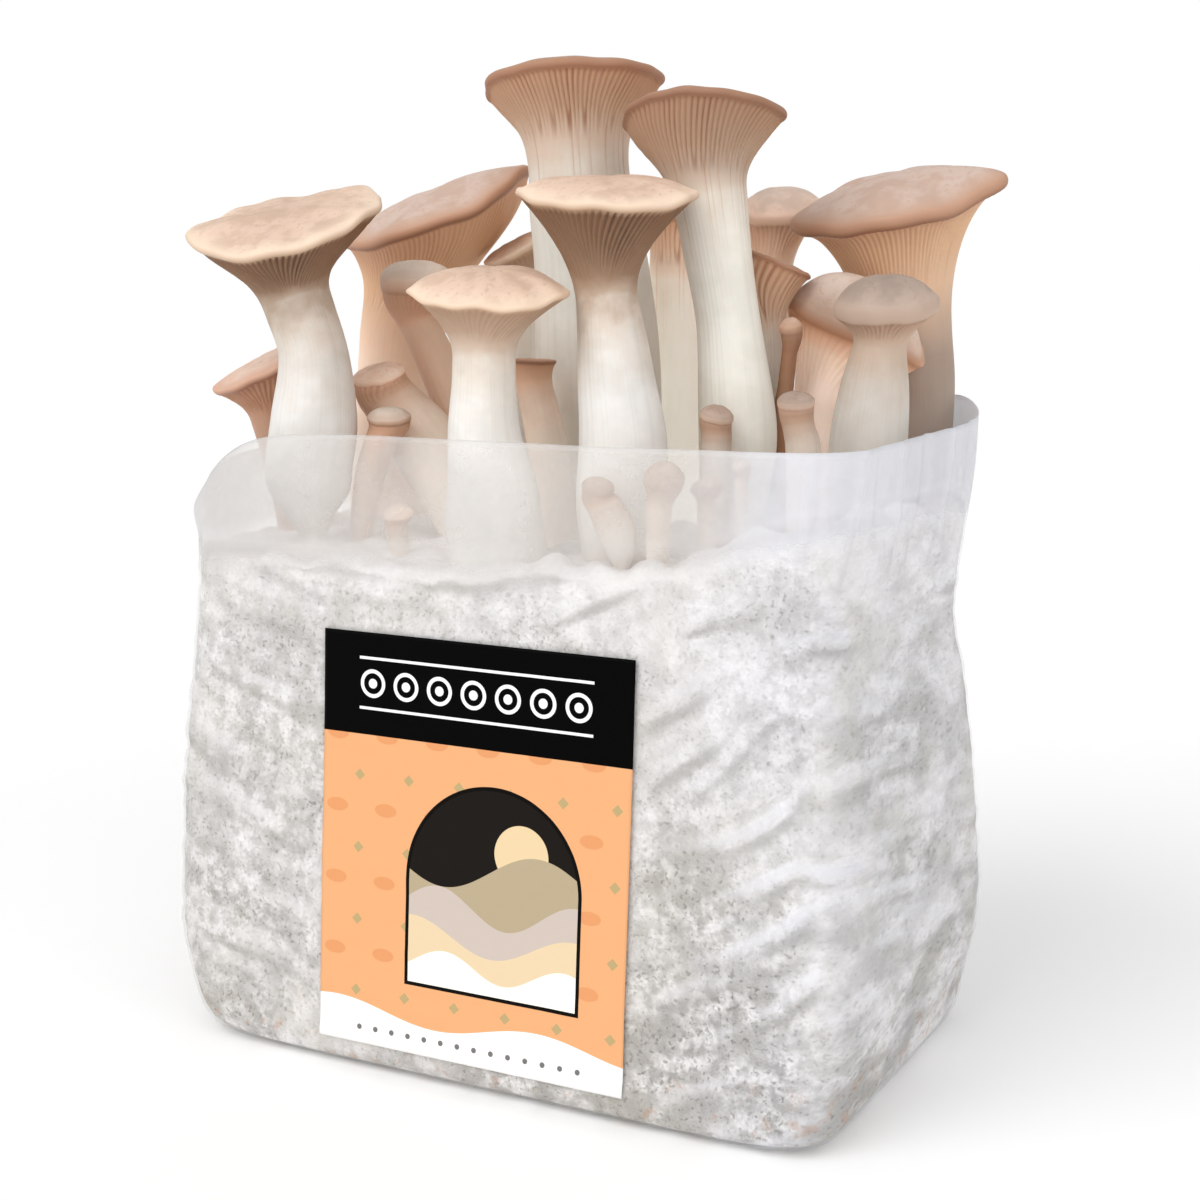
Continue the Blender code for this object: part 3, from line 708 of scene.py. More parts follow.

# Each mushroom: its stem's points (x, y, z, radius) from foot to neck; crown, the middle of its
# rim; spread, the rim's radii across and deep; lean, how far its axis leans to x and y for each
# unit up; dome, how high its top rises; lip, how thick its rim is; wave, how high the rim waves;
# lobes of the rim, each with its middle and width in degrees and how far it reaches outward and
# up; full, how full the flare is under the rim; hug, how long the flare hugs the stem; its tone,
# how light its stem, flare and top are, partly the flesh's own lightness and partly painted light
# and shade that lift pieces standing in shade and dim others; and its look.
trumpets = dict(
    trumpet_front_left=dict(
        stem=[(-66, -46, foot, 3), (-68.5, -44.5, 158, 7.7), (-69.5, -43.5, 165, 12),
              (-70, -43, 173, 13), (-68, -42, 187, 12.7), (-68.5, -41, 205, 10.3),
              (-74, -41, 220, 10.2)],
        crown=(-78, -40, 243.3), spread=(30.2, 27), lean=(-0.03, -0.35), dome=2.0, lip=2.6,
        wave=1.4, lobes=[(60, 40, 0.5, 0.4), (175, 20, -0.5, -0.6), (-80, 28, 0.3, -2.2)],
        full=0.42, tone=(0.93, 0.82, 1), look="front"),
    trumpet_far_left=dict(
        stem=[(-90, -22, foot, 6), (-92, -22, 168, 7.2), (-95.5, -23, 184, 8.4)],
        crown=(-98, -24, 200), spread=(19.5, 17), lean=(-0.38, -0.40), dome=1.5, lip=2.4, wave=0.6,
        full=0.34, tone=(1, 1.02, 1.15), look="rust"),
    trumpet_back_left=dict(
        stem=[(-86, 29, foot, 16), (-86, 29, 173, 15.6), (-85, 29, 193, 13.8), (-84, 30, 207, 14)],
        crown=(-71, 33, 247.7), spread=(35, 29), lean=(-0.28, -0.33), dome=4.2, lip=3.6, wave=1.0,
        lobes=[(10, 30, -1.5, 1.5), (-40, 30, 0.5, -0.5)], full=0.40, tone=(1.6, 1.22, 1.1),
        look="back"),
    trumpet_front_centre_left=dict(
        stem=[(-3, -47, foot, 14.2), (-4, -47, 160, 13.8), (-5, -46, 169, 12.7),
              (-8, -45, 183, 10.4), (-8, -45, 197, 9.2), (-8, -45, 206, 8.9)],
        crown=(-6, -45, 223), spread=(23.3, 20), lean=(0.06, -0.14), dome=6.4, lip=1.8, wave=1.2,
        full=0.28, look="plain"),
    trumpet_leaning_left=dict(
        stem=[(-40, 2, foot, 6.4), (-45, 1, 183, 6.4), (-51.6, -1, 202, 6.2),
              (-56.6, -2, 212, 5.8)],
        crown=(-56, -4, 224.8), spread=(11.8, 10), lean=(0.05, -0.12), dome=4.0, lip=5.0, wave=0.3,
        full=0.4, tone=(1.35, 1.4, 1.2), look="smoke"),
    trumpet_hidden_centre=dict(
        stem=[(-42.8, 36, foot, 6), (-42.8, 36, 187, 5.8), (-42.8, 36, 215, 5.5)],
        crown=(-44, 36, 235), spread=(12, 9.5), lean=(-0.42, -0.45), dome=1.6, lip=2.2, wave=0.4,
        full=0.24, tone=(1, 1, 0.95), look="plain"),
    trumpet_tallest=dict(
        stem=[(-4, 18, foot, 18), (-4, 18, 175, 19), (-5, 18, 205, 19.2), (-7, 18, 230, 17.4),
              (-10, 17, 248, 15.8), (-11, 17, 259, 15.2)],
        crown=(-12, 16, 284), spread=(27.5, 25), lean=(-0.11, 0.14), dome=3.0, lip=3.2, wave=0.4,
        lobes=[(185, 24, 1.2, -1.2), (0, 30, -0.8, -0.4)], full=0.34, hug=0.60, tone=(1.04, 1, 1),
        look="tall"),
    trumpet_front_centre=dict(
        stem=[(30, -34, foot, 11.2), (29, -33, 167, 12.6), (29, -32, 183, 12.2),
              (26, -31, 202, 10.4), (23, -30, 222, 8.5)],
        crown=(23, -30, 249.6), spread=(26.6, 20), lean=(0.06, -0.15), dome=4.0, lip=2.4, wave=1.0,
        full=0.26, tone=(0.96, 0.88, 1), look="front"),
    trumpet_tall_right=dict(
        stem=[(46, 0, foot, 7.5), (49, 0, 170, 10.4), (50, -1, 187, 11.2), (47, -1, 214, 9.2),
              (42.5, 0, 236, 9.8), (40, 0, 250, 10.8)],
        crown=(40, 0, 274), spread=(21.5, 19.5), lean=(0.01, 0.19), dome=2.0, lip=2.6, wave=0.5,
        lobes=[(185, 38, 4.5, -5), (0, 45, 0, -1.2), (-35, 45, 0.8, 0.8)], full=0.38,
        tone=(1.2, 0.76, 0.95), look="tall"),
    trumpet_behind_centre=dict(
        stem=[(10.5, 45, foot, 10), (10.5, 45, 190, 10.4), (10.5, 44.5, 226, 10)],
        crown=(11, 44, 246), spread=(10.5, 10), lean=(0.05, -0.15), dome=2.0, lip=1.8, wave=0.3,
        full=0.24, tone=(1.1, 0.95, 1), look="shaded"),
    trumpet_flat_topped=dict(
        stem=[(-2, -14, foot, 6.4), (-3, -14, 167, 6.4), (-6, -14, 183, 5.9), (-9, -14, 194, 5.4)],
        crown=(-9, -14, 203), spread=(6.3, 6), lean=(0.03, 0.02), dome=0.3, lip=0.9, wave=0.1,
        full=0.24, tone=(1.35, 1.6, 1.3), look="brown"),
    trumpet_back_small=dict(
        stem=[(42, 48, foot, 4.6), (39, 52, 195, 4.8), (35, 60, 227, 6.2)], crown=(36, 63.5, 247),
        spread=(13.5, 10.5), lean=(0.02, -0.36), dome=5.0, lip=3.4, wave=0.3, full=0.24,
        tone=(1.2, 1.25, 1.35), look="dun"),
    trumpet_gilled_small=dict(
        stem=[(53, 16.2, foot, 4.8), (52.6, 16.2, 190, 4.8), (52, 16.4, 209, 4.8)],
        crown=(51, 17, 231.5), spread=(14.4, 7.2), lean=(0.34, 0.34), dome=0.8, lip=1.4, wave=0.4,
        full=0.45, tone=(1, 0.98, 1), look="tall"),
    trumpet_tilted_right=dict(
        stem=[(64.4, 27, foot, 12.3), (64.4, 27, 176, 12.2), (66.6, 26.6, 190, 10.4)],
        crown=(75.4, 26.6, 213.5), spread=(22.2, 8.8), lean=(0.38, -0.35), dome=13, lip=2.8,
        wave=0.4, lobes=[(0, 35, 0.5, -5)], full=0.4, tone=(1.65, 1.75, 1.08), look="band"),
    trumpet_front_right=dict(
        stem=[(88, 2, foot, 10), (88, 3, 178, 11), (89.5, 3, 195, 9.8), (91, 3, 209, 7.4)],
        crown=(92.6, 3, 219), spread=(14.8, 12.5), lean=(-0.02, -0.20), dome=6.5, lip=4.6, wave=0.5,
        full=0.24, tone=(0.86, 0.9, 0.8), look="dun"),
    trumpet_back_right=dict(
        stem=[(85, 49, foot, 12.5), (85, 49, 190, 12.8), (83, 49, 212, 13.6)], crown=(79, 47, 248),
        spread=(30.5, 25.5), lean=(-0.13, -0.28), dome=6.0, lip=4.6, wave=1.0,
        lobes=[(130, 28, 4, 0), (215, 30, 2, -0.6), (172, 30, 1, -1.6), (0, 20, 4, 1.2)], full=0.0,
        hug=0.50, tone=(0.56, 1.1, 1.0), look="back"),
    button_right=dict(
        stem=[(82, -27, foot, 5), (80.5, -26, 180, 4.9), (79, -26, 188, 4.4)],
        crown=(78, -26, 194.6), spread=(5.2, 4.6), lean=(0.0, -0.2), dome=2.0, lip=2.0, wave=0.1,
        full=0.5, tone=(0.92, 0.92, 0.50), look="blush"),
    button_behind_right=dict(
        stem=[(60.4, 8, foot, 3), (60.2, 8, 186, 2.6), (61.2, 8, 197, 2.3), (62, 8, 205, 2.2)],
        crown=(62.5, 8, 213), spread=(3.4, 3.1), lean=(-0.05, -0.30), dome=2.0, lip=2.0, wave=0.1,
        full=0.5, tone=(1, 1, 1.15), look="dusk"),
    button_centre=dict(
        stem=[(52, -20, foot, 4), (52, -20, 178, 4.3), (52, -20, 184, 4.3)], crown=(52, -20, 189.6),
        spread=(4.9, 4.6), lean=(0.25, -0.20), dome=2.2, lip=1.5, wave=0.1, full=0.5,
        tone=(0.88, 0.92, 0.58), look="blush"),
    button_leaning_left=dict(
        stem=[(-30, -13, foot, 10), (-37, -15, 165, 11), (-47, -17, 179, 10.6),
              (-55, -18, 188, 8.8)],
        crown=(-61, -18, 197.6), spread=(8.8, 7.4), lean=(-0.10, -0.36), dome=2.2, lip=1.6,
        wave=0.3, full=0.3, tone=(1.35, 1.4, 1.25), look="blush"),
    button_back_left=dict(
        stem=[(-58, -34, foot, 3.4), (-54, -35, 168, 4.4), (-50, -35, 179, 4.8)],
        crown=(-46.8, -34.5, 186.2), spread=(7.2, 4.6), lean=(0.0, -0.25), dome=2.4, lip=1.8,
        wave=0.2, full=0.5, tone=(1.1, 1.3, 1.0), look="smoke"),
    pin_front_left=dict(
        stem=[(-32, -53, foot, 3.2), (-33, -53, 157, 3.2)], crown=(-32, -53, 161), spread=(4.6, 4),
        lean=(-0.04, -0.22), dome=2.0, lip=1.4, wave=0.1, full=0.6, tone=(1.05, 1.2, 1.05),
        look="blush"),
    pin_centre=dict(
        stem=[(38, -50, foot, 2.4), (36.5, -50.5, 160, 5.2), (33.5, -51.5, 167, 4.8)],
        crown=(31.6, -52, 172), spread=(4.6, 3.8), lean=(0.2, -0.25), dome=1.8, lip=1.6, wave=0.1,
        full=0.6, tone=(1.1, 1.35, 1.12), look="bud"),
    pin_centre_tall=dict(
        stem=[(48, -49, foot, 3), (48.5, -49, 167, 3.4)], crown=(50, -49, 174.5), spread=(5.8, 5),
        lean=(-0.1, -0.25), dome=3.8, lip=2.4, wave=0.1, full=0.6, tone=(1.2, 1.35, 1.08),
        look="bud"),
    pin_right_of_centre=dict(
        stem=[(57, -37, foot, 2.2), (56.6, -37, 167, 2.2)], crown=(57, -37, 172), spread=(5, 2.6),
        lean=(-0.34, -0.2), dome=1.8, lip=1.4, wave=0.1, full=0.6, tone=(1.1, 1.2, 1.02),
        look="bud"),
    pin_back_right=dict(
        stem=[(61, -23, foot, 2), (61, -23, 172, 1.9)], crown=(61, -23, 176), spread=(2.8, 2.5),
        lean=(-0.30, -0.30), dome=1.3, lip=1.3, wave=0, full=0.6, tone=(1.1, 1.3, 1.2), look="bud"),
    pin_round=dict(
        stem=[(69, -50.5, foot, 2), (69, -50.5, 157, 1.9)], crown=(69, -50.5, 159.5),
        spread=(3.1, 3), lean=(0.10, -0.25), dome=1.6, lip=1.6, wave=0, full=0.6,
        tone=(1.05, 1.1, 0.9), look="bud"),
)

# Each look: steps, the screen colours at places from 0 (foot) over 1 (neck) and 2 (rim) to 3
# (middle of the top), whose browner steps under the rim are partly the flesh's own colour and
# partly painted shade under the cap, and whose dark step at the rim, where a look has one, is
# partly the rim's own edge and partly a painted shadow line under the lip; groove, the colour
# between the gills, painted shade in the grooves; depth, how deep they are cut; shade, how
# strong that colour is, and deepens, where it begins and where it is full; dark, the angle and
# width in degrees of the side where that painted shade is strongest, and its part elsewhere;
# trails, the strength of the trails at the neck; the colour and strength of the blotches; and the slot.
looks = dict(
    front=dict(
        steps=[(0.0, (206, 178, 152)), (0.14, (236, 226, 214)), (0.3, (244, 240, 234)),
               (0.72, (245, 242, 238)), (0.92, (230, 216, 202)), (1.04, (196, 170, 148)),
               (1.22, (160, 126, 99)), (1.9, (144, 106, 78)), (1.99, (206, 172, 142)),
               (2.1, (246, 221, 197)), (2.35, (232, 202, 180)), (3.0, (220, 190, 168))],
        # near-black painted shadow between the gills, strongest on the front side
        groove=(34, 25, 19), depth=1.0, shade=1.0, dark=(-48, 30, 0.22), deepens=(1.2, 1.7),
        blotch=(184, 150, 124), blotches=0.5, slot="cream"),
    plain=dict(
        steps=[(0.0, (244, 240, 234)), (0.72, (245, 242, 238)), (0.93, (238, 228, 216)),
               (1.12, (218, 196, 177)), (1.45, (196, 166, 142)), (1.9, (182, 148, 122)),
               (1.99, (206, 172, 142)), (2.1, (246, 221, 197)), (2.35, (232, 201, 179)),
               (3.0, (222, 191, 168))],
        groove=(140, 104, 78), depth=0.25, shade=0.3, blotch=(184, 150, 124), blotches=0.5,
        slot="cream"),
    back=dict(
        steps=[(0.0, (214, 200, 188)), (0.55, (218, 196, 180)), (0.95, (216, 184, 160)),
               (1.2, (214, 178, 148)), (1.6, (214, 174, 138)), (1.95, (200, 156, 124)),
               (1.98, (142, 98, 72)), (2.005, (150, 106, 80)), (2.035, (178, 134, 106)),
               (2.08, (192, 150, 124)), (2.13, (200, 164, 142)), (2.3, (208, 184, 170))],
        groove=(164, 112, 78), depth=0.45, shade=0.6, blotch=(186, 146, 122), blotches=0.6,
        slot="tan"),
    tall=dict(
        steps=[(0.0, (232, 228, 218)), (0.7, (232, 229, 220)), (0.93, (228, 220, 208)),
               (1.12, (220, 200, 182)), (1.5, (210, 175, 147)), (1.93, (197, 153, 121)),
               (2.0, (164, 116, 88)), (2.1, (178, 136, 109)), (2.4, (190, 160, 138)),
               (3.0, (196, 170, 150))],
        groove=(150, 94, 64), depth=0.7, shade=0.9, dark=(-75, 70, 0.4), deepens=(1.05, 1.45),
        trails=0.6, blotch=(206, 184, 166), blotches=0.35, slot="pale"),
    dun=dict(
        steps=[(0.0, (242, 238, 230)), (0.7, (230, 222, 212)), (0.95, (214, 190, 170)),
               (1.25, (208, 178, 154)), (1.7, (200, 166, 142)), (1.95, (192, 158, 134)),
               (2.0, (204, 175, 155)), (2.15, (211, 186, 169)), (2.4, (194, 172, 157)),
               (3.0, (184, 164, 150))],
        groove=(160, 120, 94), depth=0.5, shade=0.6, blotch=(160, 142, 128), blotches=0.6,
        slot="grey"),
    band=dict(
        steps=[(0.0, (238, 222, 208)), (0.6, (236, 218, 204)), (0.95, (230, 208, 192)),
               (1.3, (226, 203, 188)), (1.7, (216, 188, 167)), (1.88, (196, 158, 132)),
               (1.95, (178, 136, 108)), (2.0, (166, 124, 97)), (2.09, (180, 138, 112)),
               (2.16, (206, 176, 156)), (2.4, (216, 196, 182))],
        groove=(170, 124, 94), depth=0.4, shade=0.4, blotch=(160, 124, 100), blotches=0.35,
        slot="tan"),
    rust=dict(
        steps=[(0.0, (220, 198, 182)), (0.6, (212, 178, 156)), (0.98, (198, 150, 122)),
               (1.3, (192, 142, 112)), (1.7, (198, 148, 118)), (1.95, (184, 134, 106)),
               (2.0, (160, 112, 88)), (2.08, (204, 162, 138)), (2.4, (224, 194, 176)),
               (3.0, (222, 194, 176))],
        groove=(150, 102, 76), depth=0.6, shade=0.5, blotch=(196, 156, 134), blotches=0.5,
        slot="tan"),
    brown=dict(
        steps=[(0.0, (240, 232, 224)), (0.5, (236, 224, 212)), (0.8, (224, 204, 188)),
               (1.0, (206, 178, 158)), (1.4, (184, 148, 122)), (1.85, (164, 124, 98)),
               (2.0, (118, 82, 60)), (2.15, (190, 150, 126)), (2.5, (196, 158, 134)),
               (3.0, (196, 158, 134))],
        groove=(120, 80, 58), depth=0.2, shade=0.3, blotch=(170, 130, 104), blotches=0.4,
        slot="brown"),
    smoke=dict(
        steps=[(0.0, (228, 212, 196)), (0.4, (222, 198, 180)), (0.8, (206, 172, 148)),
               (1.2, (190, 150, 124)), (1.6, (182, 142, 116)), (1.93, (176, 136, 110)),
               (1.975, (156, 118, 94)), (2.03, (186, 152, 128)), (2.1, (208, 184, 166)),
               (2.4, (214, 198, 182)), (3.0, (210, 194, 180))],
        groove=(150, 108, 82), depth=0.3, shade=0.4, blotch=(186, 168, 152), blotches=0.5,
        slot="grey"),
    blush=dict(
        steps=[(0.0, (232, 220, 206)), (0.7, (222, 206, 190)), (0.95, (204, 176, 156)),
               (1.3, (190, 156, 132)), (1.7, (184, 146, 120)), (1.95, (200, 162, 138)),
               (2.0, (230, 198, 176)), (2.2, (242, 214, 194)), (2.5, (236, 206, 186)),
               (3.0, (232, 202, 182))],
        groove=(160, 124, 100), depth=0.4, shade=0.5, blotch=(196, 156, 130), blotches=0.6,
        slot="cream"),
    bud=dict(
        steps=[(0.0, (240, 236, 232)), (0.6, (236, 228, 220)), (0.92, (216, 194, 176)),
               (1.3, (188, 160, 138)), (1.7, (176, 146, 124)), (1.95, (172, 142, 120)),
               (2.0, (178, 152, 132)), (2.2, (192, 168, 150)), (2.5, (196, 174, 158)),
               (3.0, (190, 166, 148))],
        groove=(130, 92, 68), depth=0.3, shade=0.4, blotch=(150, 112, 88), blotches=0.7,
        slot="tan"),
    # a dark brown stem, partly its own colour and partly painted shade in the gap between two stems
    dusk=dict(
        steps=[(0.0, (178, 132, 100)), (0.5, (158, 112, 80)), (0.9, (166, 120, 90)),
               (1.3, (160, 112, 84)), (1.7, (166, 122, 94)), (1.95, (176, 134, 108)),
               (2.0, (188, 148, 122)), (2.2, (206, 172, 148)), (2.5, (214, 184, 164)),
               (3.0, (210, 178, 156))],
        groove=(120, 80, 58), depth=0.3, shade=0.4, blotch=(164, 124, 100), blotches=0.6,
        slot="brown"),
)

# the tall look with a faint painted glow, which lifts a stem deep in the shade between two others
looks["shaded"] = dict(looks["tall"], glow=0.36)

gills = dict(
    smallest=7.5,             # radius of the smallest rim that has gills
    spacing=1.85,             # between neighbouring gills at the rim
    shorter=3,                # gills between two full ones
    fewest=7,                 # full gills
    columnsEach=4,            # grid columns for each gill
    thickness=0.075,          # of a blade, as a part of the way between two full gills
)

# for large and small mushrooms, the height of one of the stem's grid rows, and how many places
# there are along the flare, the lip and the top
gridRows = dict(large=(1.7, 58, 11, 30), small=(2.2, 16, 7, 8))
smallColumns = 48             # of a mushroom without gills


def smoothThrough(points, count):
    # count points evenly along a smooth curve through the given points: between two of them, a
    # cubic whose slope at each is half the way between its neighbours (Catmull-Rom)
    points = np.array(points, dtype=float)
    padded = np.vstack([2 * points[0] - points[1], points, 2 * points[-1] - points[-2]])
    places = np.linspace(0, len(points) - 1, count)
    spans = np.minimum(places.astype(int), len(points) - 2)
    t = (places - spans)[:, None]
    before, start, end, after = (padded[spans + shift] for shift in range(4))
    return 0.5 * (2 * start + (end - before) * t + (2 * before - 5 * start + 4 * end - after) * t ** 2
                  + (3 * start - before - 3 * end + after) * t ** 3)


def frameAbout(axis):
    # the axis as a unit vector, with one square to it to the right and one to the back
    axis = unit(np.asarray(axis, dtype=float))
    right = unit(np.array([1.0, 0.0, 0.0]) - axis[..., :1] * axis)
    return axis, right, np.cross(axis, right)


def stemRings(kind, angle, count, seed):
    # Circles square to a smooth spine through the stem's points, their radius times a noise a
    # little round 1.  The stem starts 4 mm down in the block.
    x, y, _, radius = kind["stem"][0]
    spine = smoothThrough([(x, y, foot - 4, radius)] + kind["stem"], count)
    ways = np.gradient(spine[:, :3], axis=0)
    ways[0] = (0, 0, 1)
    _, right, back = frameAbout(ways)
    outline = np.cos(angle)[:, None] * right[:, None] + np.sin(angle)[:, None] * back[:, None]
    heights = np.broadcast_to(spine[:, None, 2:3], (*outline.shape[:2], 1))
    swell = 1 + 0.018 * softNoise(np.concatenate([9 * outline, heights], axis=-1), 26, seed)
    return spine[:, None, :3] + (spine[:, 3:] * swell)[..., None] * outline, unit(ways[-1])


def rimShape(kind, angle, seed):
    # The rim's middle and axis, how far each place of it reaches from the middle, and how far
    # it is lifted: an ellipse square to the axis, times three faint sines, with a bell for each
    # lobe, and lifted by waves of three lengths
    across, deep = kind["spread"]
    axis, right, back = frameAbout([*kind["lean"], 1.0])
    uneven = (1 + 0.018 * np.sin(3 * angle + seed) + 0.012 * np.sin(7 * angle + 2.1 * seed)
              + 0.006 * np.sin(13 * angle + 3.7 * seed))
    lift = kind["wave"] * (np.sin(2 * angle + 0.6) + 0.6 * np.sin(5 * angle + 1.9)
                           + 0.35 * np.sin(11 * angle + seed)) / 1.6
    for middle, width, out, up in kind.get("lobes", []):
        lobe = bell(apart(np.degrees(angle), middle), 0, width)
        uneven = uneven + out * lobe / across
        lift = lift + up * lobe
    ellipse = across * np.cos(angle)[:, None] * right + deep * np.sin(angle)[:, None] * back
    return np.array(kind["crown"], dtype=float), axis, uneven[:, None] * ellipse, lift[:, None] * axis


def flareRings(kind, neck, stemWay, rim, share):
    # from each point of the neck, a Bezier curve that leaves along the stem and arrives under
    # the rim, straight up its axis where full is high
    crown, axis, reach, lift = rim
    end = crown + 0.95 * reach + lift - 0.35 * kind["lip"] * axis
    rise = np.maximum(((end - neck) @ stemWay)[:, None], 3.0)
    leave = neck + kind.get("hug", 0.42) * rise * stemWay
    arrive = end - 0.46 * (end - neck - rise * stemWay) - kind["full"] * rise * axis
    t = share[:, None, None]
    return ((1 - t) ** 3 * neck + 3 * t * (1 - t) ** 2 * leave
            + 3 * t ** 2 * (1 - t) * arrive + t ** 3 * end)


def gillRelief(turn, share, fullGills, seed):
    # 1 on a gill's edge and 0 in the groove, a bell across each: full gills run from the neck to
    # the rim, shorter ones start between them higher up, and each starts at its own height
    phase = turn * fullGills + 0.10 * np.sin(2 * math.pi * turn * 3 + 4 * share + seed)
    relief = np.zeros_like(phase)
    for offset, start in ((0.0, -0.15), (0.5, 0.02), (0.25, 0.16), (0.75, 0.24)):
        number = np.floor(phase - offset + 0.5)
        own = start + 0.11 * np.sin(number * 12.99 + seed + 7 * offset)
        blade = bell(phase, offset + number, gills["thickness"] * (1 + 0.5 * (1 - share)))
        relief = np.maximum(relief, blade * ease(own, own + 0.3, share))
    return relief


def cutGills(flare, groove, share, kind, look):
    # the flare sunk along its normals in the grooves, by the look's depth or less where the lip
    # is thin, and less towards the neck and the rim
    sideways = np.roll(flare, -1, axis=1) - np.roll(flare, 1, axis=1)
    out = unit(np.cross(sideways, np.gradient(flare, axis=0)))
    depth = np.minimum(look["depth"], 0.28 * kind["lip"] + 0.16 * kind["spread"][0] * (1 - share))
    depth = depth * ease(0.03, 0.6, share) * (1 - 0.6 * ease(0.93, 1.0, share))
    return flare - (depth * groove)[..., None] * out


def capRings(kind, rim, lipCount, topCount, seed):
    # half an ellipse round the lip, then rings that shrink to the middle over a dome, which
    # rises with the cube of the way in and has faint bumps
    crown, axis, reach, lift = rim
    lip, across = kind["lip"], kind["spread"][0]
    turns = np.radians(np.linspace(-90, 90, lipCount))[1:, None, None]
    around = (crown + (0.95 + 0.05 * np.cos(turns)) * reach + lift
              + lip * (0.15 + 0.5 * np.sin(turns)) * axis)
    shrink = (1 - np.linspace(0, 1, topCount)[1:-1] ** 1.15)[:, None, None]
    top = (crown + 0.95 * shrink * reach + shrink * lift
           + (0.65 * lip + kind["dome"] * (1 - shrink ** 3)) * axis)
    bumps = 0.012 * across * softNoise(top, 0.7 * across, seed + 5) * shrink[..., 0]
    return around, top + bumps[..., None] * axis


def trumpetGrid(name, kind, look):
    # A mushroom's surface on (row, column), from the foot up the stem, out along the flare, round
    # the lip and over the top.  along is 0 at the foot, 1 at the neck, 2 at the rim and 3 in the
    # middle of the top; groove is 1 deep between two gills, and less away from the side where the
    # material paints the most shade into the grooves.
    seed = sum(name.encode()) % 97      # a number worked out from its name
    across, deep = kind["spread"]
    large = across > gills["smallest"]
    each = 1 + gills["shorter"]
    fullGills = max(gills["fewest"], round(math.pi * (across + deep) / gills["spacing"] / each))
    columns = fullGills * each * gills["columnsEach"] if large else smallColumns
    stemStep, flareCount, lipCount, topCount = gridRows["large" if large else "small"]
    turn = np.arange(columns) / columns
    angle = 2 * math.pi * turn

    count = max(14, int((kind["stem"][-1][2] - foot) / stemStep))
    stem, stemWay = stemRings(kind, angle, count, seed)
    rim = rimShape(kind, angle, seed)
    share = np.linspace(0, 1, flareCount)[1:]
    flare = flareRings(kind, stem[-1], stemWay, rim, share)
    groove = np.zeros(flare.shape[:2])
    if large:
        relief = gillRelief(turn[None, :], share[:, None], fullGills, seed)
        groove = (1 - relief) * ease(0.03, 0.35, share[:, None])
        flare = cutGills(flare, groove, share[:, None], kind, look)
    parts = [stem, flare, *capRings(kind, rim, lipCount, topCount, seed)]
    grid = np.concatenate(parts)

    lengths = [len(part) for part in parts]
    gillRows = slice(lengths[0], lengths[0] + lengths[1])
    if large:
        first = gillRows.stop - 3
        for _ in range(3):    # the turn from the flare to the lip is smoothed
            grid[first:first + 20] = (grid[first - 1:first + 19] + 2 * grid[first:first + 20]
                                      + grid[first + 1:first + 21]) / 4
    along = np.concatenate([np.linspace(0, 1, lengths[0]), 1 + 0.97 * share,
                            np.linspace(1.98, 2.12, lengths[2]), np.linspace(2.14, 2.97, lengths[3])])
    darkWay, darkWidth, elsewhere = look.get("dark", (0, 90, 1))
    grooves = np.zeros(grid.shape[:2])
    # the painted shade in the grooves is strongest on the look's dark side
    dark = elsewhere + (1 - elsewhere) * bell(apart(np.degrees(angle), darkWay), 0, darkWidth)
    grooves[gillRows] = groove * dark
    return grid, np.repeat(along[:, None], columns, axis=1), grooves


flesh = dict(
    shift=0.30,               # how far the ramp's colours stray up and down
    streak=(176, 174, 158),   # streaks and clouds on the stems
    trail=(182, 134, 104),    # trails at the neck
    subsurface=0.12,
)


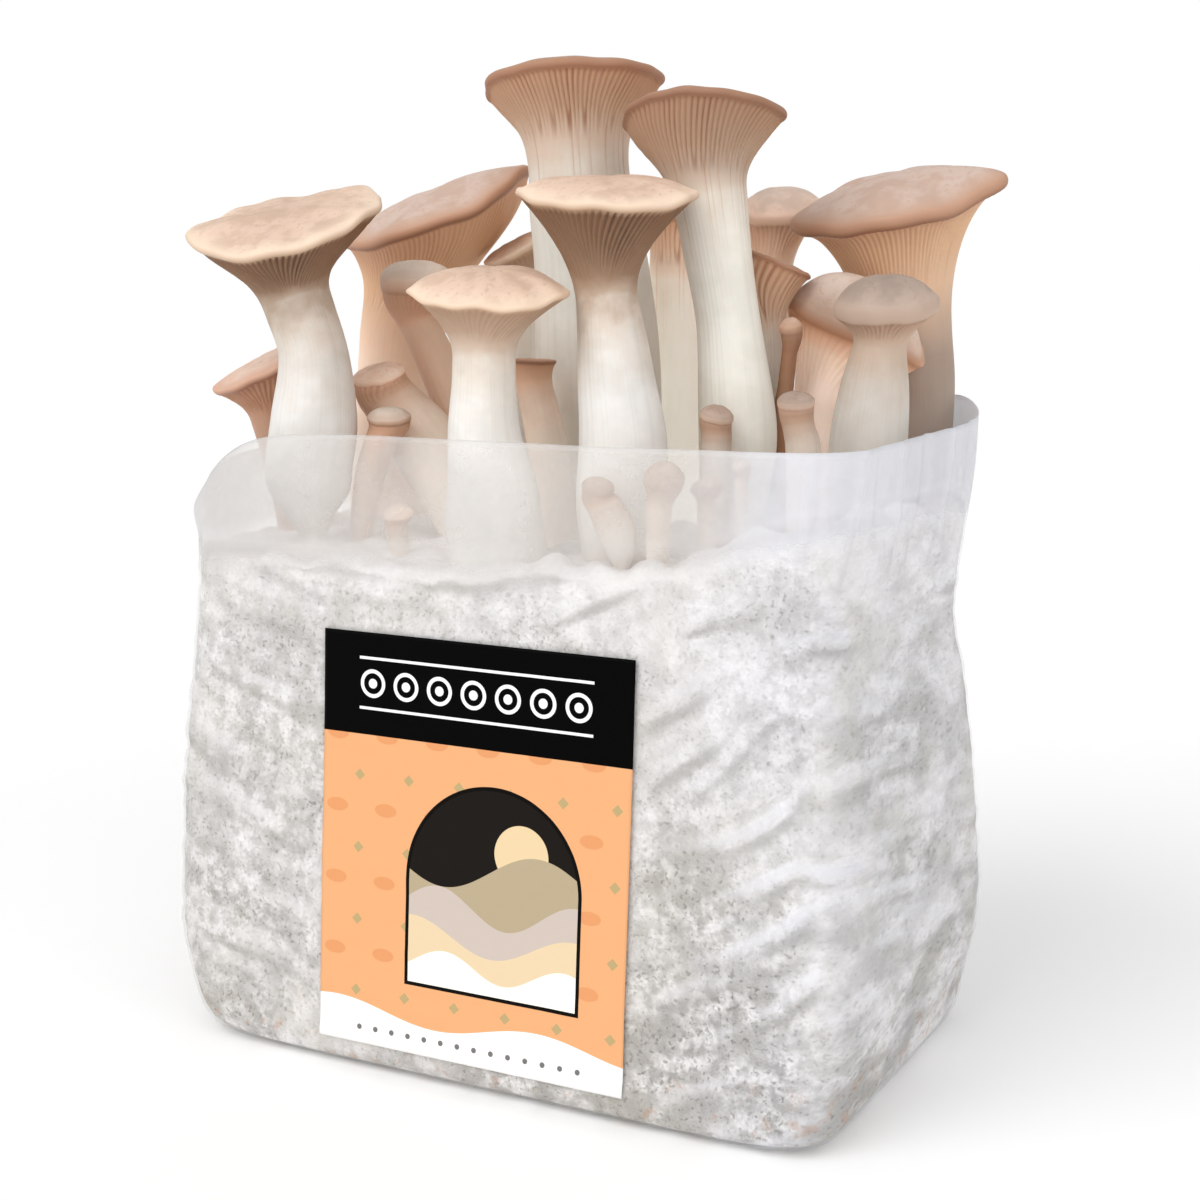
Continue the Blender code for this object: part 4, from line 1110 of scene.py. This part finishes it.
def fleshMaterial(name, look):
    # Mushroom flesh: a ramp of colours from foot to top, strayed by a noise below the rim.  Over
    # it lie blotches and specks on the top, streaks and clouds on the stem, painted shade between
    # the gills and trails at the neck, and all of it is multiplied by the tone, which is partly the
    # piece's own lightness and partly painted light and shade.  A look with a glow adds a painted glow.
    material, tree, shader = newMaterial("flesh " + name)
    tone, along, groove = (mark(tree, wanted) for wanted in ("tone", "along", "groove"))
    wobble = use(tree, patches, Size=9.0, Level=0.5, Softness=0.5, Shift=1.0)["Value"]
    threads = use(tree, fibres, Around=70.0, Along=4.0)["Value"]
    shift = times(tree, maths(tree, "SUBTRACT", wobble, 0.5), flesh["shift"])
    belowRim = stretched(tree, along, 1.55, 1.85, 1.0, 0.0)
    place = maths(tree, "DIVIDE", scaled(tree, shift, belowRim, along), 3.0)
    ramp = add(tree, "ShaderNodeValToRGB", {"Fac": place})
    steps = ramp.color_ramp.elements
    while len(steps) < len(look["steps"]):
        steps.new(0.5)
    for step, (where, colour) in zip(steps, look["steps"]):
        step.position = where / 3
        step.color = screen(*colour)

    onTop, onStem = stretched(tree, along, 2.02, 2.3), stretched(tree, along, 1.25, 0.9)
    spots = use(tree, patches, Size=8.0, Level=0.53, Softness=0.10, Shift=5.0)["Mask"]
    specks = use(tree, patches, Size=1.7, Level=0.62, Softness=0.10, Shift=8.0)["Mask"]
    spotted = maths(tree, "MAXIMUM", times(tree, spots, 0.7), times(tree, specks, 0.7))
    spotted = times(tree, spotted, onTop, look["blotches"])
    colour = mixed(tree, spotted, ramp.outputs["Color"], look["blotch"])

    streaks = times(tree, stretched(tree, threads, 0.45, 0.75), onStem)
    clouds = times(tree, use(tree, patches, Size=14.0, Level=0.55, Softness=0.12)["Mask"], onStem)
    faint = scaled(tree, streaks, 0.12, times(tree, clouds, 0.14))
    colour = mixed(tree, faint, colour, flesh["streak"])

    # painted shade in the grooves between the gills
    deep = stretched(tree, along, *look.get("deepens", (1.15, 1.7)), 0.0, look["shade"])
    patchy = stretched(tree, use(tree, fibres, Around=26.0, Along=2.0)["Value"], 0.35, 0.65, 0.35, 1.0)
    shaded = times(tree, stretched(tree, groove, 0.25, 1.0), deep, patchy)
    colour = mixed(tree, shaded, colour, look["groove"])

    trails = stretched(tree, use(tree, fibres, Around=75.0, Along=1.2)["Value"], 0.50, 0.72)
    nearNeck = times(tree, stretched(tree, along, 0.72, 1.05), stretched(tree, along, 1.6, 1.2))
    trails = times(tree, trails, nearNeck, look.get("trails", 0.0))
    colour = mixed(tree, trails, colour, flesh["trail"])

    # times the tone: partly the piece's own lightness, partly painted light and shade
    toned = add(tree, "ShaderNodeVectorMath", {0: colour, "Scale": tone}, operation="SCALE").outputs[0]
    feed(tree, shader["Base Color"], toned)
    # a painted glow that lifts a stem standing in shade
    if "glow" in look:
        feed(tree, shader["Emission Color"], toned)
        shader["Emission Strength"].default_value = look["glow"]
    feed(tree, shader["Roughness"], scaled(tree, wobble, 0.2, 0.5))
    shader["Subsurface Weight"].default_value = flesh["subsurface"]
    shader["Subsurface Radius"].default_value = (1.0, 0.6, 0.4)
    shader["Subsurface Scale"].default_value = 0.003
    relief = scaled(tree, times(tree, threads, onStem), 0.8, times(tree, specks, onTop, -0.3))
    feed(tree, shader["Normal"], bump(tree, relief, 0.5, 0.5))
    return material


studio = dict(
    floor=12.0,               # half its width, in metres
    under=0.2,                # how far it lies under the object, in millimetres
    shade=(250, 250, 250),
    world=0.62,
    # each light's name, compass angle from the front towards the right, height angle, strength
    # and how wide it is, in degrees
    lights=[("key", -28, 44, 1.25, 45), ("fill", 55, 22, 0.65, 60)],
    camera=dict(place=(0.280, -0.528, 0.236), turn=(80, 0, 27.5), lens=60),
)


def buildFloor():
    # a pale square that shines a little, so that it renders nearly white
    half = studio["floor"] / mm
    x, y = np.meshgrid([-half, half], [-half, half])
    floor = surface("floor", np.stack([x, y, np.full_like(x, -studio["under"])], axis=-1), wraps=False)
    material, _, shader = newMaterial("pale floor")
    shader["Base Color"].default_value = screen(*studio["shade"])
    shader["Roughness"].default_value = 0.8
    shader["Emission Color"].default_value = (1, 1, 1, 1)
    shader["Emission Strength"].default_value = 0.1
    floor.data.materials.append(material)


def buildLight():
    # an even world, pure white where the camera sees it, and wide suns
    world = bpy.data.worlds.new("studio")
    world.use_nodes = True
    tree = world.node_tree
    sky = tree.nodes["Background"].inputs
    sky["Color"].default_value = (1, 1, 1, 1)
    seen = add(tree, "ShaderNodeLightPath").outputs["Is Camera Ray"]
    feed(tree, sky["Strength"], maths(tree, "MAXIMUM", seen, studio["world"]))
    bpy.context.scene.world = world
    for name, turn, height, strength, width in studio["lights"]:
        lamp = bpy.data.lights.new(name, "SUN")
        lamp.energy = strength
        lamp.angle = math.radians(width)
        light = bpy.data.objects.new(name, lamp)
        light.rotation_euler = (math.radians(90 - height), 0, math.radians(turn))
        bpy.context.scene.collection.objects.link(light)


def buildCamera():
    # the camera at its place, turned by its three angles
    view = bpy.data.cameras.new("camera")
    view.lens = studio["camera"]["lens"]
    view.sensor_width = 36
    view.clip_start = 0.01
    camera = bpy.data.objects.new("camera", view)
    camera.location = studio["camera"]["place"]
    camera.rotation_euler = [math.radians(angle) for angle in studio["camera"]["turn"]]
    bpy.context.scene.collection.objects.link(camera)
    bpy.context.scene.camera = camera


bpy.context.scene.view_settings.view_transform = "Standard"
buildFloor()
buildLight()
buildCamera()
print("studio ready")
standFor(buildBlock(), myceliumMaterial())
print("block ready")
standFor(buildBag(), filmMaterial())
standFor(buildLabel(), labelMaterial())
print("bag and label ready")
skins = {name: fleshMaterial(name, look) for name, look in looks.items()}
for name, kind in trumpets.items():
    look = looks[kind["look"]]
    grid, along, groove = trumpetGrid(name, kind, look)
    # each mushroom's lightness, partly its own and partly painted light and shade
    stem, flare, top = kind.get("tone", (1, 1, 1))
    tone = np.interp(along, [0.85, 1.25, 1.97, 2.12], [stem, flare, flare, top])
    marks = {"along": along, "groove": groove, "tone": tone}
    piece = surface(name + "_look", grid, lowPole=True, highPole=True, marks=marks)
    standFor(piece, skins[kind["look"]])
    print(name, "ready")
